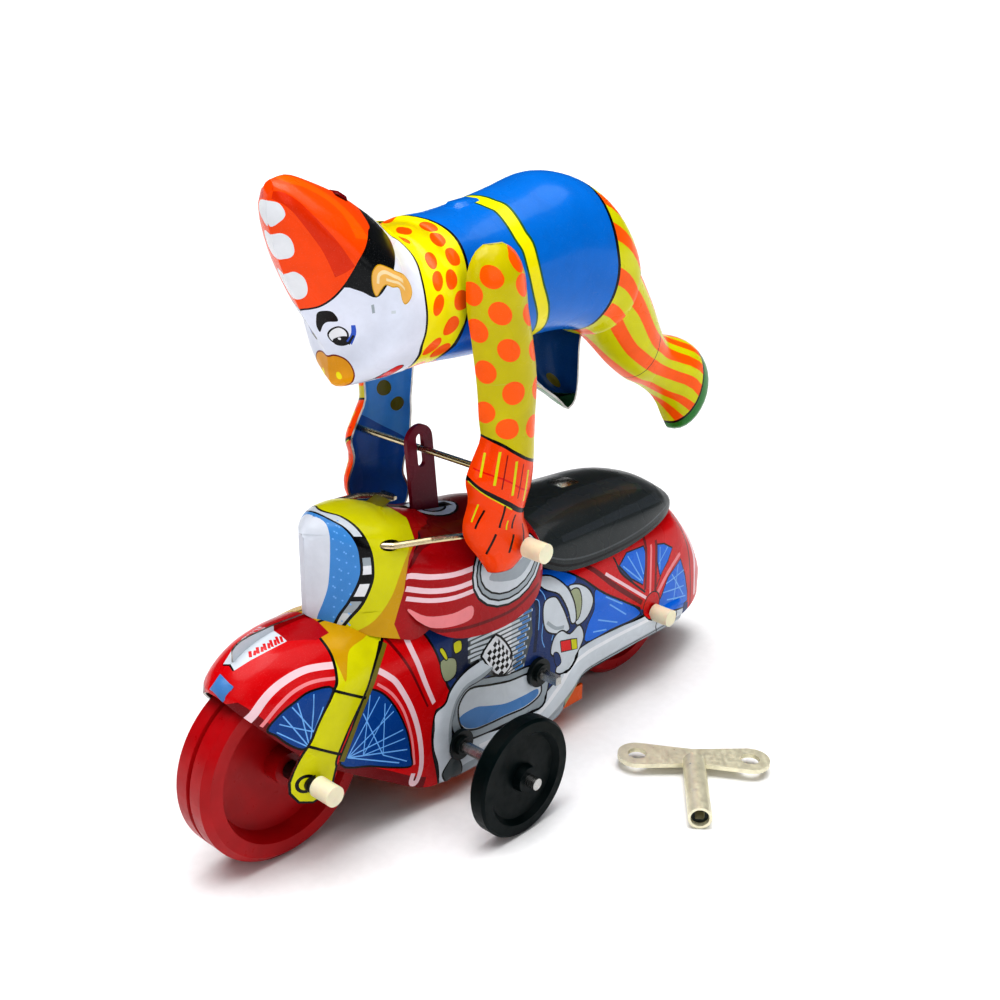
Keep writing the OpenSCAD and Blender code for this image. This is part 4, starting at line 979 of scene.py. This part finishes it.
def arm_drawing():
    s = []
    for p, q in ((3.4, 3.2), (7, -5), (8.8, 3.6), (15, -4), (15.6, 5), (23.4, -3.2), (24.2, 5.4),
                 (33.4, -2.8), (33.6, 5.6), (42, -4.2), (42.4, 3.6), (11, -10.4), (19.4, -10.4),
                 (28.6, -9.6), (38, -10), (19.4, 11), (29, 10.8), (38, 10.6)):
        s += dot("dot_orange", p, q, 2.7, 2.9)
    cuff = [(43, -16), (45.1, -8.2), (46.4, -4.6), (48.4, -1), (50.6, 4.2), (52.6, 14)]
    s += [("deep_orange", curve(cuff) + [(80, 14), (80, -16)]), ("black", stroke(curve(cuff), 0.7))]
    s += line("bright_red", [(52, -12), (54, -4), (57, 3), (58, 12)], 0.4)
    for path in ([(47.6, -5.6), (55.8, -5.8)], [(50, -1), (58.2, -0.8)], [(52.6, 3.4), (60, 3.6)],
                 [(48, -9.4), (54, -9.6)]):
        s += line("yellow", path, 0.7)
    for path in ([(48.4, -3.6), (56.6, -3.8)], [(51, 1.2), (59, 1)]):
        s += line("dark_red", path, 0.3)
    s += line("black", [(54.6, -14), (57, -9.5), (58.4, -6), (60.3, -1.6), (62.4, 3.4), (63.6, 12)], 1.2)
    s += line("yellow", [(55.6, -13), (58.2, -8), (60, -4), (61.8, 0)], 0.3)
    for path in ([(60.8, -2.2), (63.4, -2), (66, -2.3)], [(63.2, 1.8), (66.8, 1)], [(67.6, -3.4),
            (73.4, -7.2)], [(68.6, 1), (73.6, -1.4)], [(62, -7), (66, -8.4)], [(66.6, 5.4), (72, 3.4)]):
        s += line("black", path, 0.55)
    s += line("yellow", [(61, -9), (64.6, -9.6)], 0.5) + line("yellow", [(64.4, -0.2), (66.8, -0.6)], 0.4)
    return s


def arm_inside():
    s = []
    for p, q in ((7, 2), (14, -5), (17, 6), (24, 0), (31, -6), (33, 5), (43.4, 2.8), (47.6, 7.4)):
        s += dot("olive", p, q, 2.1, 2.1)
    cuff = [(44, -16), (47, -10), (50.4, -2), (53.6, 5), (56, 14)]
    s += [("inside_dark", curve(cuff) + [(80, 14), (80, -16)])]
    return s


# ---------------------------------------------------------------- the pressed tin pieces
def hole_round(x, z, r, n=20):
    return [(x + r * math.cos(a), z + r * math.sin(a)) for a in np.arange(n) * 2 * math.pi / n]


SLOT_HALF = 1.3     # half the width of the lever's slot, along the sheet
PAST_SEAM = 1       # how far the slot's shape runs past the seam


def seam_slot(sheet, x0, x1):
    """The lever's slot in a sheet's seam at the top, from x0 to x1."""
    x = np.linspace(x0, x1, 8)
    top = sheet.edges(x)[1]
    return list(zip(x, top - SLOT_HALF)) + list(zip(x, top + PAST_SEAM))[::-1]


DRIVE_AXLE, ARBOR, REAR_AXLE = (32.65, 15.2), (3.36, 24.0), (-48.5, 23.0)
BUSH_HOLE, AXLE_HOLE = 2.6, 1.2     # radii
WIRE_HOLE = (50.8, 74.4, 2.6, 1.6)  # the handlebar's oval hole in the lamp: middle, half axes
low_shapes = engine_drawing() + rear_drawing() + front_drawing()
fin_drawing = panel("tank_red", [(60, 50), (74.9, 50), (74.9, 60), (60, 60)])
# folded tabs of the seams: place, direction along, direction outwards, size, ink
BIKE_TABS = [
    ((43.5, 0, 77.9), (1, 0, -0.3), (0.3, 0, 1), (6, 5, 1.0), "olive"),
    ((-26, 0, 64.6), (1, 0, 0.05), (0, 0, 1), (8, 5, 0.9), "steel"),
    ((90.6, 1.4, 48.4), (0, 1, -0.3), (0.8, 0.25, 0.5), (5, 4.2, 0.8), "case_blue")]
CLOWN_TABS = [
    ((52, 0, 150.3), (1, 0, 0.6), (-0.6, 0, 1), (3.4, 3.6, 0.8), "dark_red"),
    ((14, 0, 144.6), (1, 0, -0.1), (0.1, 0, 1), (8, 5, 1.2), "torso_blue"),
    ((11.5, 0, 109.9), (1, 0, 0), (0, 0, -1), (8, 5, 0.9), "navy")]
for side, label in ((1, "left"), (-1, "right")):
    bike = Tin("tin_bike_" + label, side)
    holes = [hole_round(*DRIVE_AXLE, BUSH_HOLE), hole_round(*REAR_AXLE, AXLE_HOLE),
             hole_round(FRONT_AXLE.x, FRONT_AXLE.z, AXLE_HOLE)]
    if side > 0:
        holes.append(hole_round(*ARBOR, BUSH_HOLE))
    holes.append(seam_slot(low_sheet, 15, 38))
    bike.skin(low_sheet, "red", low_shapes, "tin_inside", holes=holes, outline=fork_tab,
              caps=("red", "red"))
    x, z, along, up = WIRE_HOLE
    wire_hole = [(x + along * math.cos(a), z + up * math.sin(a)) for a in np.arange(16) * math.pi / 8]
    bike.skin(lamp_sheet, "tank_red", lamp_drawing(), "tin_inside", holes=[wire_hole,
            seam_slot(lamp_sheet, 31, 40)], caps=(None, "lens"))
    bike.skin(tank_sheet, "tank_red", tank_drawing(), "tin_inside", holes=[seam_slot(tank_sheet, 19, 40)],
              caps=("tank_red", "tank_red"))
    bike.skin(seat_sheet, "seat", seat_drawing(), "tin_inside", caps=("seat", "seat"))
    if side > 0:
        bike.skin(FinSheet(), "silver", fin_drawing, "silver", fin_drawing, step=6)
        for tab in BIKE_TABS:
            bike.tab(*tab)
    bike.finish("chassis", "body_" + label, slot="bike_tin")

    clown = Tin("tin_clown_" + label, side)
    clown.skin(torso_sheet, "torso_blue", torso_drawing(), "inside_dark", caps=("orange", "collar"))
    if side > 0:
        clown.skin(back_sheet, "yellow", back_leg_drawing(), "inside_dark", caps=("yellow", "sole"))
    else:
        clown.skin(down_sheet, "yellow", down_leg_drawing(), "inside_navy", down_leg_inside(),
                   caps=("yellow", "sole"))
    if side > 0:
        for tab in CLOWN_TABS:
            clown.tab(*tab)
    clown.finish("rider", "clown_" + label, slot="clown_tin")

    arm = Tin("tin_arm_" + label, side)
    arm.skin(arm_sheet, "arm_yellow", arm_drawing(), "inside_blue", arm_inside(),
             caps=("arm_yellow", "deep_orange"))
    arm.finish("rider", "arm_" + label, slot="arm_tin")

# ---------------------------------------------------------------- finishes of the CAD parts
FINISH = {"front_wheel": "wheel_red", "rear_wheel": "wheel_red", "drive_wheel_left": "wheel_black",
          "drive_wheel_right": "wheel_black", "axle_bushes": "bush_black", "arbor_bush": "bush_black",
          "front_axle_caps": "ivory", "rear_axle_caps": "ivory", "handlebar_caps": "ivory",
          "handlebar": "wire", "crossbar": "wire", "lever": "maroon", "base_plate": "base_orange",
          "key": "nickel", "mainspring": "spring_steel", "click": "dark_steel",
          "wheel_spacers": "dark_steel"}
BRASS = ("ratchet_wheel", "main_gear", "idler_pinion", "idler_gear", "drive_pinion", "motor_pillars")
for name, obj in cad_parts.items():
    mat = material(FINISH.get(name, "brass" if name in BRASS else "steel"))
    for k in range(len(obj.material_slots)):
        obj.material_slots[k].material = mat
    if not obj.material_slots:
        obj.data.materials.append(mat)


KEY_PLACE, KEY_TURN = Vector((-19.1, 53, 3)), 38.5   # middle of the bow, and the tube's direction
MOUTH, DEPTH, SQUARE = 2.25, 25.65, 1.16              # mouth radius, ring's distance, half the square
RING = 24


def key_mouth_painted_shade():
    """Painted shade: a flat black ring at the bottom of the key's round mouth, round the square that takes
    the arbor, where the bore lies in shadow.
    """
    turn = Matrix.Rotation(math.radians(KEY_TURN), 4, "Z")
    ring = [(MOUTH * math.cos(a), MOUTH * math.sin(a)) for a in (np.arange(RING) + 0.5) * math.pi / 12]
    inner = [(c * SQUARE / max(abs(c), abs(d)), d * SQUARE / max(abs(c), abs(d))) for c, d in ring]
    points = [(turn @ Vector((DEPTH, p, q)) + KEY_PLACE + SHIFT) * MM for p, q in ring + inner]
    mesh = bpy.data.meshes.new("key_mouth_painted_shade")
    faces = [(i, (i + 1) % RING, RING + (i + 1) % RING, RING + i) for i in range(RING)]
    mesh.from_pydata(points, [], faces)
    # painted shade: the black of the bushes stands in for the shadow down the bore
    mesh.materials.append(material("bush_black"))
    piece = bpy.data.objects.new("key_mouth_painted_shade", mesh)
    scene.collection.objects.link(piece)
    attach(piece, "loose_key")


key_mouth_painted_shade()

# ---------------------------------------------------------------- floor, light and camera
GLOW_FROM, GLOW_FULL, GLOW = 0.45, 1.3, 0.45   # metres from the toy, and the paper's emission there
WORLD_FILL, WORLD_GLOSS = 0.022, 0.018         # the white world as a light and in reflections


def paper():
    n = Nodes("studio_paper")
    n.link("Base Color", n.mix((0.93, 0.93, 0.94, 1), (0.91, 0.91, 0.92, 1), n.ramp(n.noise(400, 2.0), 0.4,
            0.6, 0.0, 1.0)))
    n.set(Roughness=0.75)
    n.bump((n.noise(900, 3.0), 0.03, 0.0001))
    # far from the toy, where the lamps fade, the paper glows a little so that it stays pale
    reach = n.node("ShaderNodeVectorMath", (("Vector", n.coords),), operation="LENGTH").outputs["Value"]
    n.link("Emission Strength", n.ramp(reach, GLOW_FROM, GLOW_FULL, 0.0, GLOW))
    n.set(Emission_Color=(1.0, 1.0, 1.0, 1.0))
    return n.mat


bpy.ops.mesh.primitive_plane_add(size=120, location=(0, 0, -0.0002))
floor = bpy.context.object
floor.name = "studio_floor"
floor.data.materials.append(paper())


def studio_world():
    """World that the camera sees as white, while it gives the toy and its reflections little light."""
    world = bpy.data.worlds.new("studio")
    world.use_nodes = True
    tree = world.node_tree
    tree.nodes["Background"].inputs["Color"].default_value = (1.0, 1.0, 1.0, 1.0)
    rays = tree.nodes.new("ShaderNodeLightPath")
    dim = tree.nodes.new("ShaderNodeMapRange")
    tree.links.new(rays.outputs["Is Camera Ray"], dim.inputs["Value"])
    dim.inputs["To Min"].default_value = WORLD_FILL
    dim.inputs["To Max"].default_value = 1.0
    gloss = tree.nodes.new("ShaderNodeMapRange")
    tree.links.new(rays.outputs["Is Glossy Ray"], gloss.inputs["Value"])
    tree.links.new(dim.outputs["Result"], gloss.inputs["To Min"])
    gloss.inputs["To Max"].default_value = WORLD_GLOSS
    tree.links.new(gloss.outputs["Result"], tree.nodes["Background"].inputs["Strength"])
    return world


scene.world = studio_world()


def softbox(name, place, target, size, power):
    light = bpy.data.lights.new(name, "AREA")
    light.shape = "RECTANGLE"
    light.size, light.size_y = size
    light.energy = power
    lamp = bpy.data.objects.new(name, light)
    lamp.location = place
    lamp.rotation_euler = (Vector(target) - Vector(place)).to_track_quat("-Z", "Y").to_euler()
    scene.collection.objects.link(lamp)


softbox("top_light", (-0.10, 0.10, 0.75), (0, 0, 0.05), (0.7, 0.7), 3.4)
softbox("front_light", (0.75, 0.20, 0.55), (0, 0, 0.07), (0.5, 0.6), 1.2)
softbox("side_light", (0.0, 0.80, 0.40), (0, 0, 0.06), (0.6, 0.4), 1.0)
sky = bpy.data.lights.new("sky_light", "SUN")
sky.energy = 2.25
sky.angle = math.radians(48)
overhead = bpy.data.objects.new("sky_light", sky)
overhead.rotation_euler = (math.radians(8), math.radians(10), 0)
scene.collection.objects.link(overhead)
scene.view_settings.view_transform = "Standard"
scene.view_settings.look = "Medium High Contrast"

# the photograph's viewpoint, found by a fit to it: place in the bike's millimetres, and directions
eye = Vector((232.96, 215.12, 191.01))
right = Vector((-0.68155, 0.73169, 0.01114))
up = Vector((-0.25955, -0.25594, 0.93120))
back = Vector((0.6842, 0.6318, 0.3644))
camera = bpy.data.objects.new("camera", bpy.data.cameras.new("camera"))
camera.data.lens = 46.8
camera.data.sensor_width = 36.0
camera.data.clip_start = 0.01
camera.matrix_world = Matrix.Translation((eye
                                          + SHIFT) * MM) @ Matrix((right, up, back)).transposed().to_4x4()
scene.collection.objects.link(camera)
scene.camera = camera
